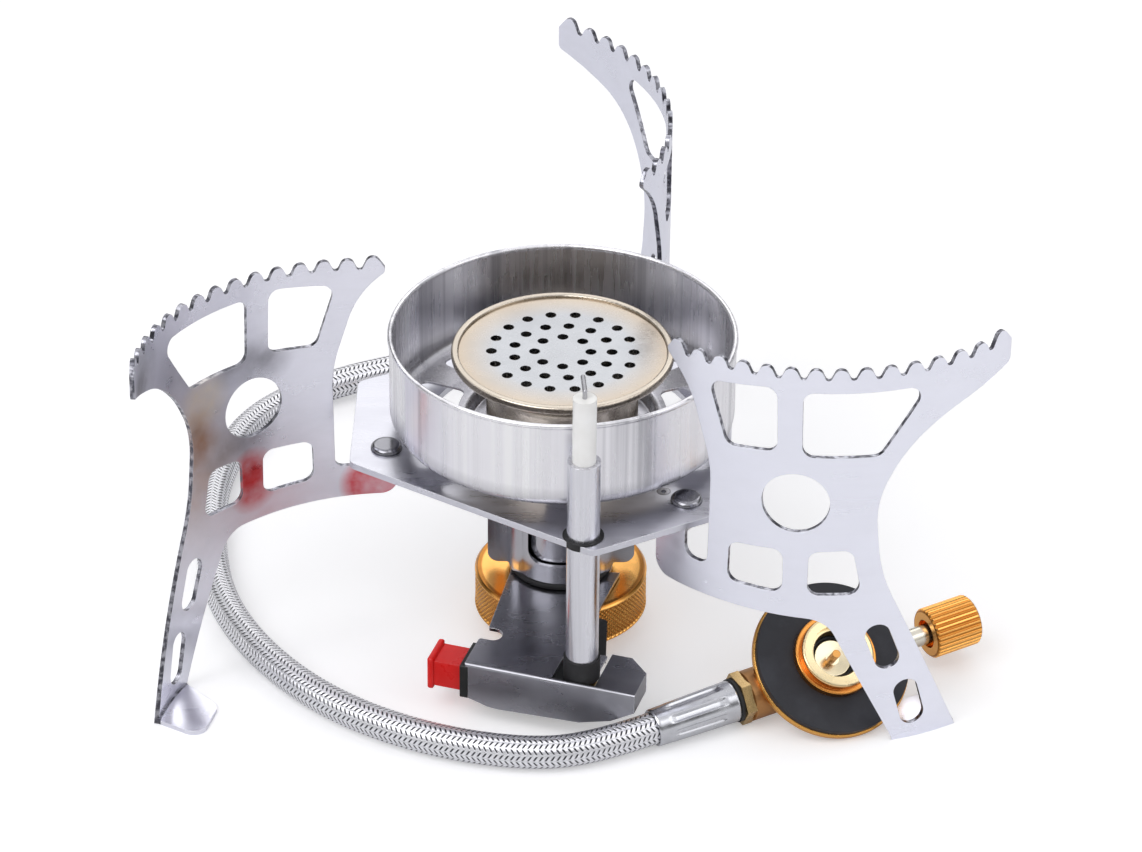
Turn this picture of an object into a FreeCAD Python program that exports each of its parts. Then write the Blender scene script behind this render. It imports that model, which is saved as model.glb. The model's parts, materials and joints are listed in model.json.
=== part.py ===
import FreeCAD, Part
import math
import os

# Canister stove on a hose.  Millimetres; Z is up and the ground is z = 0.
# The burner axis is the Z axis.  Angles in plan are degrees from +X, counter-clockwise.

V = FreeCAD.Vector
ORIGIN = V(0, 0, 0)
UP = V(0, 0, 1)

# Fits
RUNNING_GAP = 0.05
SLIDING_GAP = 0.1

# Base plate
PLATE_TOP = 49.0
PLATE_THICKNESS = 1.5
PLATE_BOTTOM = PLATE_TOP - PLATE_THICKNESS
PLATE_POINT_RADIUS = 48.0
PLATE_POINT_ANGLE = -82.0
PLATE_SHOULDER_RADIUS = 47.4
PLATE_SHOULDER_ANGLE = -42.3
PLATE_CORNER = 2.5
PLATE_WINDOW_INNER = 21.0
PLATE_WINDOW_OUTER = 29.5
PLATE_WINDOW_SPAN = 74.0
PLATE_WINDOW_ANGLE = -90.0
PLATE_WINDOW_CORNER = 2.5

# Wind cup
CUP_RADIUS = 37.0
CUP_WALL = 0.5
CUP_RIM = PLATE_TOP + 23.5
CUP_BEAD = 0.6
CUP_FLOOR_RISE = 3.2
CUP_FOOT_OUTER = 20.3
CUP_FOOT_INNER = 16.6
CUP_CORNER = 3.0
CUP_WINDOW_INNER = 22.5
CUP_WINDOW_OUTER = 33.0
CUP_WINDOW_SPAN = 46.0
CUP_WINDOW_COUNT = 6
CUP_WINDOW_CORNER = 2.0

# Burner head
HEAD_TOP = PLATE_TOP + 19.8
HEAD_RADIUS = 23.8
HEAD_RING_INNER = 22.3
HEAD_SEAT = PLATE_TOP + 18.0
HEAD_SEAT_INNER = 20.6
HEAD_NECK = 16.3
HEAD_SHEET = 0.8
HEAD_NECK_TOP = PLATE_TOP + 14.5
HEAD_FOOT_INNER = 9.9
DISC_THICKNESS = 1.2
DISC_HOLE = 1.15
DISC_RING_RADII = [15.2, 10.5, 6.0]
DISC_RING_COUNTS = [18, 13, 8]

# Mixing tube and hub hood
TUBE_RADIUS = 9.3
TUBE_WALL = 0.7
TUBE_TOP = PLATE_TOP + 10.0
TUBE_PORT = 1.5
TUBE_PORT_ANGLES = [-20.0, 20.0, 160.0, 200.0]
TUBE_PORT_RISE = 5.0
HOOD_RADIUS = 10.8
HOOD_WALL = 1.0
HOOD_WING = 15.9
HOOD_WING_HALF = 5.5
HOOD_WING_ROOT = 3.5
HOOD_WING_RISE = 2.4
HOOD_WING_CORNER = 2.5
HOOD_BOTTOM = 15.5
HOOD_FLOOR_HOLE = 4.2
HOOD_WINDOW_TOP = 45.0
HOOD_WINDOW_BOTTOM = 19.9
HOOD_WINDOW_HALF = 7.1
HOOD_WINDOW_CORNER = 3.0

# Stack below the hood
BRACKET_SHEET = 0.8
BRACKET_TOP = 14.2
BRACKET_BOTTOM = BRACKET_TOP - BRACKET_SHEET
SEAL_RADIUS = 11.3
CORE_BORE = 5.0
COLLAR_RADIUS = 18.8
COLLAR_BOTTOM = 3.7
COLLAR_FLOOR = 8.0
COLLAR_DISH = 0.5
COLLAR_RIM = 18.0
COLLAR_CHAMFER = 0.6
CORE_FLANGE = 11.0
CORE_SHAFT = 8.0
JET_FLATS = 6.0
JET_BASE = 2.4
JET_NOZZLE = 1.6
JET_TOP = 20.5
JET_BORE = 0.3

# Rear hose inlet
INLET_ANGLE = 75.0
INLET_HEIGHT = 8.5
INLET_RADIUS = 4.1
INLET_START = 10.0
INLET_SHOULDER = 21.0
INLET_HEX_FLATS = 9.0
INLET_END = 24.0
REAR_FERRULE_END = 40.0
REAR_FERRULE_RADIUS = 4.4

# Legs: one stamped sheet rolled to an arc in plan.  Along the sheet the outline is
# measured as (distance round the arc, height above the plate's top face).
LEG_SHEET = 1.0
LEG_ARC = 49.35
LEG_INNER = LEG_ARC - LEG_SHEET / 2
LEG_OUTER = LEG_ARC + LEG_SHEET / 2
LEG_ARC_CENTRE_X = -37.515
LEG_ARC_CENTRE_Y = -51.768
LEG_START_ANGLE = 93.23
RIVET_INSET = 6.38
RIVET_FROM_ARC_CENTRE = LEG_ARC - RIVET_INSET
RIVET_STEP = -2.9
RIGHT_LEG_TURN = 15.1
LEG_STEP_ANGLE = 120.0
TOOTH_COUNT = 15
TOOTH_PITCH = 5.1
TOOTH_CREST = 45.3
TOOTH_RISE = 2.6
TOOTH_HEIGHT = 5.7
TOOTH_CREST_ROUND = 1.5
TOOTH_VALLEY_ROUND = 0.7
LEG_FOOT_INNER = 50.1
LEG_FOOT_OUTER = 64.9
FOOT_WIDTH = 10.3
FOOT_SHIFT = 4.6
FOOT_SHEET = 1.0
FOOT_CORNER = 3.0
ARM_END = -5.0
ARM_ROOT = 2.9
TAB_TOP = PLATE_BOTTOM - SLIDING_GAP
TAB_ROUND = 4.6
RIVET_SHANK = 1.8
RIVET_HEAD = 3.4
RIVET_HEAD_HEIGHT = 1.2
RIVET_HEAD_ROUND = 1.1
RIVET_TAIL = 2.9
RIVET_TAIL_HEIGHT = 0.9
WASHER_RADIUS = 3.6
WASHER_THICKNESS = 0.6
LEG_HOLE_ROUND = 2.5
LEG_ROUND_HOLE_AT = (27.4, 11.8)
LEG_ROUND_HOLE = 7.1
LEG_SLOT_WIDTH = 5.4

# Detents and the electrode's hole in the plate
DETENT_FROM_RIVET = 5.85
DETENT_TURN = 192.0
DETENT_RADIUS = 1.5
DETENT_HOLE = 0.5
SLEEVE_HOLE = 4.2

# Igniter frame: x along the button's travel, y towards the burner
IGNITER_TURN = -17.6
BRACKET_HUB = 11.3
TONGUE_RIGHT = 13.5
FRONT = -43.2
FLANGE_LEFT = -6.8
BRACKET_LEFT = -7.6
BRACKET_RIGHT = 30.2
END_WALL_BOTTOM = 9.7
BEND_RADIUS = 0.7
BODY_LEFT = -7.0
BODY_RIGHT = 18.2
BODY_FRONT = -42.2
BODY_BACK = -34.0
BODY_BOTTOM = 5.2
BUTTON_Y = -38.4
BUTTON_Z = 9.2
BUTTON_WIDTH = 7.0
BUTTON_HEIGHT = 6.2
BUTTON_TRAVEL = 5.0
BUTTON_OUTER = -16.3
BUTTON_FACE = 1.4
BUTTON_FACE_WIDTH = 8.2
BUTTON_FACE_HEIGHT = 7.8
BUTTON_INNER = 2.0
BUTTON_BORE = 2.5
BUTTON_BORE_DEPTH = 7.5
CAVITY_END = BUTTON_INNER + BUTTON_TRAVEL + 1.5
BEZEL_THICKNESS = 1.7
BEZEL_WIDTH = 9.4
BEZEL_HEIGHT = 8.2
SPRING_RADIUS = 1.75
SPRING_WIRE = 0.45
SPRING_LENGTH = 7.0
SPRING_TURNS = 5
ELECTRODE_X = 17.0
ELECTRODE_Y = -38.3
SLEEVE_RADIUS = 3.5
SLEEVE_BOTTOM = 15.0
SLEEVE_TOP = 67.4
CERAMIC_RADIUS = 2.5
CERAMIC_TOP = 82.7
WIRE_RADIUS = 0.5
WIRE_RISE = 1.6
WIRE_REACH = 4.0
BOOT_RADIUS = 3.9
BOOT_TOP = 18.6
GROMMET_LIP = 0.15
GROMMET_LIP_HEIGHT = 0.2

# Canister valve.  Local x runs along the valve, local z is the canister's axis.
VALVE_AT = V(56.35, -29.3, 6.65)
VALVE_HEADING = 27.5
VALVE_PITCH = 2.9
VALVE_LEAN = 53.0
VALVE_BODY = 5.5
VALVE_BODY_START = -19.0
VALVE_BODY_END = 14.0
VALVE_BOSS = 8.6
FLANGE_RADIUS = 17.4
FLANGE_BACK = 5.05
FLANGE_FRONT = 6.6
PAD_RADIUS = 16.9
PAD_FRONT = 8.2
COLLAR_SHANK = 7.4
COLLAR_HEAD = 9.0
COLLAR_STEP = 8.0
COLLAR_STEP_AT = 10.0
THREAD_FRONT = 11.7
THREAD_BORE = 5.2
THREAD_MOUTH = 5.8
THREAD_MOUTH_DEPTH = 1.3
THREAD_FLOOR = 3.7
O_RING_MIDDLE = 4.7
O_RING_WIRE = 0.48
SEAT_SHOULDER = 6.8
SEAT_RADIUS = 4.2
SEAT_TOP = 7.6
SEAT_DISH = 0.4
PIN_RADIUS = 0.9
PIN_TOP = 10.3
NUT_FLATS = 10.0
NUT_START = -21.3
SEAL_START = -22.1
SEAL_OUTER = 4.8
FERRULE_END = -41.4
FERRULE_BIG = 4.6
FERRULE_SMALL = 4.1
GLAND_END = 18.0
GLAND_RADIUS = 4.5
SPINDLE_RADIUS = 2.2
SPINDLE_START = 10.0
SPINDLE_END = 29.0
KNOB_START = 25.8
KNOB_END = 36.9
KNOB_RADIUS = 5.6
KNOB_GROOVES = 30
KNOB_GROOVE = 0.38
KNOB_CHAMFER = 0.5
KNOB_RECESS = 3.2
KNOB_RECESS_DEPTH = 2.5

# Hose: the route's points between the two ferrules
HOSE_RADIUS = 3.5
HOSE_FIRST_RUN = 13.2
HOSE_LAST_RUN = 25.0
HOSE_BEND_SHARE = 0.45
HOSE_ROUTE = [
    V(-6.2, -57.0, 3.7),
    V(-27.0, -52.4, 3.7),
    V(-47.4, -40.9, 3.7),
    V(-63.3, -23.7, 3.7),
    V(-74.4, -2.4, 3.7),
    V(-78.5, 20.8, 3.7),
    V(-79.2, 46.2, 3.7),
    V(-72.0, 76.0, 3.9),
    V(-45.6, 93.2, 4.7),
    V(-15.6, 98.2, 6.4),
    V(7.4, 85.2, 7.9),
]


def polar(radius, degrees, z=0.0):
    angle = math.radians(degrees)
    return V(radius * math.cos(angle), radius * math.sin(angle), z)


def rounded_loop(corners):
    """Edges of a closed outline in the XY plane; each corner is (x, y, rounding)."""
    count = len(corners)
    starts = []
    ends = []
    arcs = []
    for index, (x, y, rounding) in enumerate(corners):
        here = V(x, y, 0)
        if rounding <= 0:
            starts.append(here)
            ends.append(here)
            arcs.append(None)
            continue
        before = corners[index - 1]
        after = corners[(index + 1) % count]
        back = (V(before[0], before[1], 0) - here).normalize()
        onward = (V(after[0], after[1], 0) - here).normalize()
        half = back.getAngle(onward) / 2
        cut = rounding / math.tan(half)
        inward = (back + onward).normalize()
        middle = here + inward * (rounding / math.sin(half) - rounding)
        starts.append(here + back * cut)
        ends.append(here + onward * cut)
        arcs.append(Part.Arc(starts[-1], middle, ends[-1]).toShape())
    edges = []
    for index in range(count):
        if arcs[index] is not None:
            edges.append(arcs[index])
        following = starts[(index + 1) % count]
        if (following - ends[index]).Length > 1e-6:
            edges.append(Part.LineSegment(ends[index], following).toShape())
    return edges


def flat_plate(corners, z_low, z_high):
    face = Part.Face(Part.Wire(rounded_loop(corners)))
    face.translate(V(0, 0, z_low))
    return face.extrude(V(0, 0, z_high - z_low))


def turned(corners):
    """A solid turned about the Z axis from a closed outline of (radius, z, rounding)."""
    face = Part.Face(Part.Wire(rounded_loop(corners)))
    face.rotate(ORIGIN, V(1, 0, 0), 90)
    return face.revolve(ORIGIN, UP, 360)


def rod(radius, z_low, z_high, x=0.0, y=0.0):
    return Part.makeCylinder(radius, z_high - z_low, V(x, y, z_low))


def ring(outer, inner, z_low, z_high, x=0.0, y=0.0):
    return rod(outer, z_low, z_high, x, y).cut(rod(inner, z_low - 1, z_high + 1, x, y))


def box(x_low, x_high, y_low, y_high, z_low, z_high):
    return Part.makeBox(x_high - x_low, y_high - y_low, z_high - z_low, V(x_low, y_low, z_low))


def sector(inner, outer, middle, span, z_low, z_high, rounding):
    """An arc-shaped block about the Z axis, its four upright edges rounded."""
    pie = Part.makeCylinder(outer, z_high - z_low, V(0, 0, z_low), UP, span)
    block = pie.cut(rod(inner, z_low - 1, z_high + 1))
    upright = [edge for edge in block.Edges
               if edge.Length > z_high - z_low - 1e-6
               and abs(edge.tangentAt(edge.FirstParameter).z) > 0.99]
    if rounding > 0:
        block = block.makeFillet(rounding, upright)
    block.rotate(ORIGIN, UP, middle - span / 2)
    return block


def prism(flats, z_low, z_high, turn=0.0):
    """A six-sided bar along Z; flats is the distance across flats."""
    corners = []
    for step in range(6):
        point = polar(flats / math.sqrt(3), 60 * step + 30 + turn)
        corners.append((point.x, point.y, 0))
    return flat_plate(corners, z_low, z_high)


def along_x(shape):
    """Turns a shape made along Z so that it runs along X."""
    shape.rotate(ORIGIN, V(0, 1, 0), 90)
    return shape


def save(name, shape):
    shape.exportStep("parts/" + name + ".step")
    print(name, round(shape.Volume, 2), shape.isValid(), len(shape.Solids))


# ---- Base plate, cup and burner ----

def rivet_point(step):
    """Plan position of one leg's rivet; step 0 is the left leg, 1 right, 2 back."""
    start = LEG_START_ANGLE + math.degrees(RIVET_STEP / LEG_ARC)
    left = V(LEG_ARC_CENTRE_X, LEG_ARC_CENTRE_Y, 0) + polar(RIVET_FROM_ARC_CENTRE, start)
    turn = math.radians(LEG_STEP_ANGLE * step)
    x = left.x * math.cos(turn) - left.y * math.sin(turn)
    y = left.x * math.sin(turn) + left.y * math.cos(turn)
    return V(x, y, 0)


def detent_point(step):
    """The detent's centre, beside the rivet."""
    rivet = rivet_point(step)
    outward = math.degrees(math.atan2(rivet.y, rivet.x))
    return rivet + polar(DETENT_FROM_RIVET, outward + DETENT_TURN)


def igniter_place(shape):
    shape.rotate(ORIGIN, UP, IGNITER_TURN)
    return shape


def electrode_point():
    spot = V(ELECTRODE_X, ELECTRODE_Y, 0)
    turn = math.radians(IGNITER_TURN)
    x = spot.x * math.cos(turn) - spot.y * math.sin(turn)
    y = spot.x * math.sin(turn) + spot.y * math.cos(turn)
    return V(x, y, 0)


def base_plate():
    corners = []
    for step in range(3):
        point = polar(PLATE_POINT_RADIUS, PLATE_POINT_ANGLE + LEG_STEP_ANGLE * step)
        shoulder = polar(PLATE_SHOULDER_RADIUS, PLATE_SHOULDER_ANGLE + LEG_STEP_ANGLE * step)
        corners.append((point.x, point.y, PLATE_CORNER))
        corners.append((shoulder.x, shoulder.y, PLATE_CORNER))
    plate = flat_plate(corners, PLATE_BOTTOM, PLATE_TOP)
    plate = plate.cut(rod(TUBE_RADIUS + SLIDING_GAP, PLATE_BOTTOM - 1, PLATE_TOP + 1))
    spot = electrode_point()
    plate = plate.cut(rod(SLEEVE_HOLE, PLATE_BOTTOM - 1, PLATE_TOP + 1, spot.x, spot.y))
    for step in range(3):
        window = sector(PLATE_WINDOW_INNER, PLATE_WINDOW_OUTER,
                        PLATE_WINDOW_ANGLE + LEG_STEP_ANGLE * step, PLATE_WINDOW_SPAN,
                        PLATE_BOTTOM - 1, PLATE_TOP + 1, PLATE_WINDOW_CORNER)
        rivet = rivet_point(step)
        detent = detent_point(step)
        plate = plate.cut(window)
        plate = plate.cut(rod(RIVET_SHANK, PLATE_BOTTOM - 1, PLATE_TOP + 1, rivet.x, rivet.y))
        plate = plate.cut(rod(DETENT_RADIUS, PLATE_BOTTOM - 1, PLATE_TOP + 1, detent.x, detent.y))
    return plate


def detent_eyelets():
    eyelets = []
    for step in range(3):
        spot = detent_point(step)
        eyelets.append(ring(DETENT_RADIUS, DETENT_HOLE, PLATE_BOTTOM, PLATE_TOP, spot.x, spot.y))
    return Part.makeCompound(eyelets)


def wind_cup():
    low = PLATE_TOP
    floor = PLATE_TOP + CUP_FLOOR_RISE
    inner = CUP_RADIUS - CUP_WALL
    cup = turned([
        (CUP_FOOT_INNER, low, 0),
        (CUP_FOOT_OUTER, low, 0.8),
        (CUP_FOOT_OUTER + 0.6, floor, 0.8),
        (CUP_RADIUS, floor, CUP_CORNER),
        (CUP_RADIUS, CUP_RIM, 0),
        (inner, CUP_RIM, 0),
        (inner, floor + CUP_WALL, CUP_CORNER - CUP_WALL),
        (CUP_FOOT_OUTER + 0.1, floor + CUP_WALL, 1.3),
        (CUP_FOOT_OUTER - 0.5, low + CUP_WALL, 0.3),
        (CUP_FOOT_INNER, low + CUP_WALL, 0),
    ])
    bead = Part.makeTorus(CUP_RADIUS - CUP_WALL / 2, CUP_BEAD, V(0, 0, CUP_RIM))
    cup = cup.fuse(bead)
    for step in range(CUP_WINDOW_COUNT):
        window = sector(CUP_WINDOW_INNER, CUP_WINDOW_OUTER, step * 360 / CUP_WINDOW_COUNT,
                        CUP_WINDOW_SPAN, floor - 1, floor + 2, CUP_WINDOW_CORNER)
        cup = cup.cut(window)
    return cup


def burner_head():
    neck_inner = HEAD_NECK - HEAD_SHEET
    return turned([
        (HEAD_FOOT_INNER, PLATE_TOP, 0),
        (HEAD_NECK, PLATE_TOP, 0),
        (HEAD_NECK, HEAD_NECK_TOP, 4.0),
        (HEAD_RADIUS, HEAD_SEAT, 1.2),
        (HEAD_RADIUS, HEAD_TOP, 0.5),
        (HEAD_RING_INNER, HEAD_TOP, 0.3),
        (HEAD_RING_INNER, HEAD_SEAT, 0),
        (HEAD_SEAT_INNER, HEAD_SEAT, 0),
        (neck_inner, HEAD_NECK_TOP + 0.9, 3.0),
        (neck_inner, PLATE_TOP + HEAD_SHEET, 0.3),
        (HEAD_FOOT_INNER, PLATE_TOP + HEAD_SHEET, 0),
    ])


def burner_disc():
    top = HEAD_SEAT + DISC_THICKNESS
    disc = rod(HEAD_RING_INNER - RUNNING_GAP, HEAD_SEAT, top)
    holes = []
    for radius, count in zip(DISC_RING_RADII, DISC_RING_COUNTS):
        for step in range(count):
            spot = polar(radius, 360.0 * step / count)
            holes.append(rod(DISC_HOLE, HEAD_SEAT - 1, top + 1, spot.x, spot.y))
    return disc.cut(Part.makeCompound(holes))


def mixing_tube():
    bottom = HOOD_BOTTOM + HOOD_WALL
    tube = ring(TUBE_RADIUS, TUBE_RADIUS - TUBE_WALL, bottom, TUBE_TOP)
    for angle in TUBE_PORT_ANGLES:
        port = Part.makeCylinder(TUBE_PORT, TUBE_RADIUS + 1, V(0, 0, bottom + TUBE_PORT_RISE),
                                 polar(1, angle))
        tube = tube.cut(port)
    return tube


def hood_block(inset):
    """The hood's body: a round tube with a flat wing at each side, taken in by inset."""
    low = HOOD_BOTTOM + inset
    high = PLATE_BOTTOM
    half = HOOD_WING_HALF - inset
    block = rod(HOOD_RADIUS - inset, low, high)
    block = block.fuse(box(-HOOD_WING, HOOD_WING, -half, half, low, high)).removeSplitter()
    roots = [edge for edge in block.Edges
             if edge.Length > high - low - 1e-6
             and abs(edge.tangentAt(edge.FirstParameter).z) > 0.99
             and abs(abs(edge.CenterOfMass.y) - half) < 1e-6
             and abs(edge.CenterOfMass.x) < HOOD_RADIUS]
    block = block.makeFillet(HOOD_WING_ROOT + inset, roots)
    return block.common(hood_silhouette(inset))


def hood_silhouette(inset):
    """The hood as seen from the front, with its two rounded lower corners, as a block."""
    side = HOOD_WING - inset
    low = HOOD_BOTTOM + inset
    wing_low = low + HOOD_WING_RISE
    root = HOOD_RADIUS + 0.7 - inset
    block = flat_plate([
        (-side, wing_low, HOOD_WING_CORNER - inset),
        (-root, wing_low, 0.4),
        (-root + 1.0, low, 0.4),
        (root - 1.0, low, 0.4),
        (root, wing_low, 0.4),
        (side, wing_low, HOOD_WING_CORNER - inset),
        (side, PLATE_BOTTOM + inset, 0),
        (-side, PLATE_BOTTOM + inset, 0),
    ], -HOOD_RADIUS - 1, HOOD_RADIUS + 1)
    block.rotate(ORIGIN, V(1, 0, 0), 90)
    return block


def hub_hood():
    hood = hood_block(0).cut(hood_block(HOOD_WALL))
    for side in (-90, 90):
        hood = hood.cut(hood_window(side))
    return hood.cut(rod(HOOD_FLOOR_HOLE, HOOD_BOTTOM - 1, HOOD_BOTTOM + HOOD_WALL + 1))


def hood_window(angle):
    """A window block reaching out through the hood's wall, its lower corners rounded."""
    block = flat_plate([
        (-HOOD_WINDOW_HALF, HOOD_WINDOW_BOTTOM, HOOD_WINDOW_CORNER),
        (HOOD_WINDOW_HALF, HOOD_WINDOW_BOTTOM, HOOD_WINDOW_CORNER),
        (HOOD_WINDOW_HALF, HOOD_WINDOW_TOP, 0),
        (-HOOD_WINDOW_HALF, HOOD_WINDOW_TOP, 0),
    ], HOOD_WING_HALF + HOOD_WALL, HOOD_RADIUS + 2)
    block.rotate(ORIGIN, V(1, 0, 0), 90)
    block.rotate(ORIGIN, UP, angle + 90)
    return block


def hub_seal():
    return turned([
        (CORE_BORE, BRACKET_TOP, 0),
        (SEAL_RADIUS, BRACKET_TOP, 0.5),
        (SEAL_RADIUS, HOOD_BOTTOM, 0.5),
        (CORE_BORE, HOOD_BOTTOM, 0),
    ])


# ---- Collar, gas core and rear inlet ----

def inlet_bar(radius, start, end):
    return Part.makeCylinder(radius, end - start, polar(start, INLET_ANGLE, INLET_HEIGHT),
                             polar(1, INLET_ANGLE))


def knurled_collar():
    collar = turned([
        (CORE_SHAFT, COLLAR_BOTTOM, 0),
        (COLLAR_RADIUS - COLLAR_CHAMFER, COLLAR_BOTTOM, 0),
        (COLLAR_RADIUS, COLLAR_BOTTOM + COLLAR_CHAMFER, 0),
        (COLLAR_RADIUS, BRACKET_BOTTOM - COLLAR_CHAMFER, 0),
        (COLLAR_RADIUS - COLLAR_CHAMFER, BRACKET_BOTTOM, 0),
        (COLLAR_RIM, BRACKET_BOTTOM, 0),
        (CORE_FLANGE, BRACKET_BOTTOM - COLLAR_DISH, 0),
        (CORE_FLANGE, COLLAR_FLOOR, 0),
        (CORE_SHAFT, COLLAR_FLOOR, 0),
    ])
    return collar.cut(inlet_bar(INLET_RADIUS, INLET_START, COLLAR_RADIUS + 2))


def gas_core():
    core = rod(CORE_FLANGE, COLLAR_FLOOR, BRACKET_BOTTOM)
    core = core.fuse(rod(CORE_SHAFT, COLLAR_BOTTOM, COLLAR_FLOOR))
    return core.cut(inlet_bar(INLET_RADIUS, INLET_START, COLLAR_RADIUS))


def gas_jet():
    jet = prism(JET_FLATS, BRACKET_BOTTOM, BRACKET_BOTTOM + JET_BASE)
    nozzle = rod(JET_NOZZLE, BRACKET_BOTTOM + JET_BASE, JET_TOP)
    bore = rod(JET_BORE, BRACKET_BOTTOM - 1, JET_TOP + 1)
    return jet.fuse(nozzle).cut(bore)


def inlet_fitting():
    hexagon = prism(INLET_HEX_FLATS, INLET_SHOULDER, INLET_END)
    hexagon.rotate(ORIGIN, V(0, 1, 0), 90)
    hexagon.rotate(ORIGIN, UP, INLET_ANGLE)
    hexagon.translate(V(0, 0, INLET_HEIGHT))
    return inlet_bar(INLET_RADIUS, INLET_START, INLET_SHOULDER).fuse(hexagon)


def rear_ferrule():
    return inlet_bar(REAR_FERRULE_RADIUS, INLET_END, REAR_FERRULE_END)


# ---- Legs ----

def onto_arc(edge, cylinder):
    """Wraps a flat outline edge, read as (distance round, height), onto a cylinder."""
    curve = edge.Curve.toBSpline(edge.FirstParameter, edge.LastParameter)
    poles = [FreeCAD.Base.Vector2d(pole.x / LEG_ARC, pole.y) for pole in curve.getPoles()]
    wrapped = Part.Geom2d.BSplineCurve2d()
    wrapped.buildFromPolesMultsKnots(poles, curve.getMultiplicities(), curve.getKnots(),
                                     False, curve.Degree, curve.getWeights())
    return wrapped.toShape(cylinder)


def rolled_sheet(edges, inner, thickness):
    """A sheet of the given outline rolled about the Z axis; heights are from the plate's top."""
    cylinder = Part.Cylinder()
    cylinder.Radius = inner
    wire = Part.Wire([onto_arc(edge, cylinder) for edge in edges])
    face = Part.Face(cylinder, wire)
    if not face.isValid() or face.Area <= 0 or face.Area > 1e6:
        face = Part.Face(cylinder, wire.reversed())
    sheet = face.makeOffsetShape(thickness, 1e-3, fill=True)
    sheet.translate(V(0, 0, PLATE_TOP))
    return sheet


def leg_outline():
    """The leg's outer outline, counter-clockwise from the arm's end."""
    corners = [
        (ARM_END, TAB_TOP - PLATE_TOP, 0),
        (ARM_END, -15.2, 4.0),
        (12.0, -15.8, 0),
        (34.6, -16.9, 7.0),
        (LEG_FOOT_INNER, -PLATE_TOP, 0),
        (LEG_FOOT_OUTER, -PLATE_TOP, 0),
        (45.6, -5.4, 40.0),
        (43.9, 12.5, 22.0),
        (51.8, 28.9, 28.0),
        (74.6, 38.5, 1.5),
        (74.6, 43.8, 0.5),
    ]
    for tooth in range(TOOTH_COUNT - 1, -1, -1):
        along = tooth * TOOTH_PITCH
        crest = TOOTH_CREST + TOOTH_RISE * tooth / (TOOTH_COUNT - 1)
        corners.append((along, crest, TOOTH_CREST_ROUND))
        if tooth > 0:
            corners.append((along - TOOTH_PITCH / 2, crest - TOOTH_HEIGHT, TOOTH_VALLEY_ROUND))
    corners += [
        (-3.2, 40.6, 1.3),
        (3.4, 34.6, 22.0),
        (8.9, 17.0, 30.0),
        (8.6, -7.9, 2.0),
        (ARM_ROOT, -7.9, 2.7),
        (ARM_ROOT, TAB_TOP - PLATE_TOP, 0),
    ]
    return rounded_loop(corners)


def leg_windows():
    """The outlines of the leg's cut-outs."""
    quads = [
        [(28.1, 38.7), (28.4, 23.2), (44.4, 23.5), (54.4, 39.4)],
        [(22.8, 39.3), (7.7, 37.4), (12.3, 23.0), (23.3, 23.9)],
        [(13.5, -0.4), (13.3, -10.2), (25.3, -10.9), (25.2, 0.0)],
        [(30.5, 0.0), (30.4, -10.8), (41.8, -10.4), (39.6, 0.6)],
    ]
    outlines = []
    for quad in quads:
        outlines.append(rounded_loop([(x, y, LEG_HOLE_ROUND) for x, y in quad]))
    x, y = LEG_ROUND_HOLE_AT
    size = LEG_ROUND_HOLE
    square = [(x - size, y - size), (x + size, y - size), (x + size, y + size), (x - size, y + size)]
    outlines.append(rounded_loop([(a, b, size - 0.001) for a, b in square]))
    for low, high in (((48.8, -29.9), (44.7, -18.7)), ((54.8, -45.3), (51.7, -33.8))):
        outlines.append(slot_outline(V(low[0], low[1], 0), V(high[0], high[1], 0)))
    return outlines


def slot_outline(low, high):
    """A round-ended slot between its two tips."""
    run = (high - low).normalize()
    half = LEG_SLOT_WIDTH / 2
    across = V(-run.y, run.x, 0) * half
    corners = [low + across, low - across, high - across, high + across]
    return rounded_loop([(point.x, point.y, half - 0.001) for point in corners])


def leg_tab():
    """The flat tab at the arm's top, reaching from the rolled sheet to the rivet."""
    rivet_angle = math.degrees(RIVET_STEP / LEG_ARC)
    rivet = polar(RIVET_FROM_ARC_CENTRE, rivet_angle)
    across = polar(TAB_ROUND, rivet_angle + 90)
    root = polar(LEG_OUTER + 2, math.degrees(ARM_ROOT / LEG_ARC))
    end = polar(LEG_OUTER + 2, math.degrees(ARM_END / LEG_ARC))
    low = rivet - across
    high = rivet + across
    corners = [(low.x, low.y, 0), (end.x, end.y, 0), (root.x, root.y, 0), (high.x, high.y, 0)]
    tab = flat_plate(corners, TAB_TOP - LEG_SHEET, TAB_TOP)
    tab = tab.fuse(rod(TAB_ROUND, TAB_TOP - LEG_SHEET, TAB_TOP, rivet.x, rivet.y))
    tab = tab.common(rod(LEG_OUTER, TAB_TOP - 3, TAB_TOP + 3))
    hole = rod(RIVET_SHANK + RUNNING_GAP, TAB_TOP - 3, TAB_TOP + 3, rivet.x, rivet.y)
    return tab, hole


def foot_pad():
    """The flat pad turned in under the leg; its side edges carry on the strut's slant."""
    inner = LEG_INNER - FOOT_WIDTH
    reach = (LEG_OUTER + 2 - inner) / FOOT_WIDTH
    corners = []
    for along, order in ((LEG_FOOT_INNER, 1), (LEG_FOOT_OUTER, -1)):
        root = polar(LEG_INNER, math.degrees(along / LEG_ARC))
        tip = polar(inner, math.degrees((along + FOOT_SHIFT) / LEG_ARC))
        start = tip + (root - tip) * reach
        corners += [(tip.x, tip.y, FOOT_CORNER), (start.x, start.y, 0)][::order]
    pad = flat_plate(corners, 0, FOOT_SHEET)
    return pad.common(rod(LEG_OUTER, -1, FOOT_SHEET + 1))


def leg():
    """One leg about its own arc's centre."""
    sheet = rolled_sheet(leg_outline(), LEG_INNER, LEG_SHEET)
    for outline in leg_windows():
        sheet = sheet.cut(rolled_sheet(outline, LEG_INNER - LEG_SHEET, 3 * LEG_SHEET))
    tab, hole = leg_tab()
    return sheet.fuse([tab, foot_pad()]).cut(hole)


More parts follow.
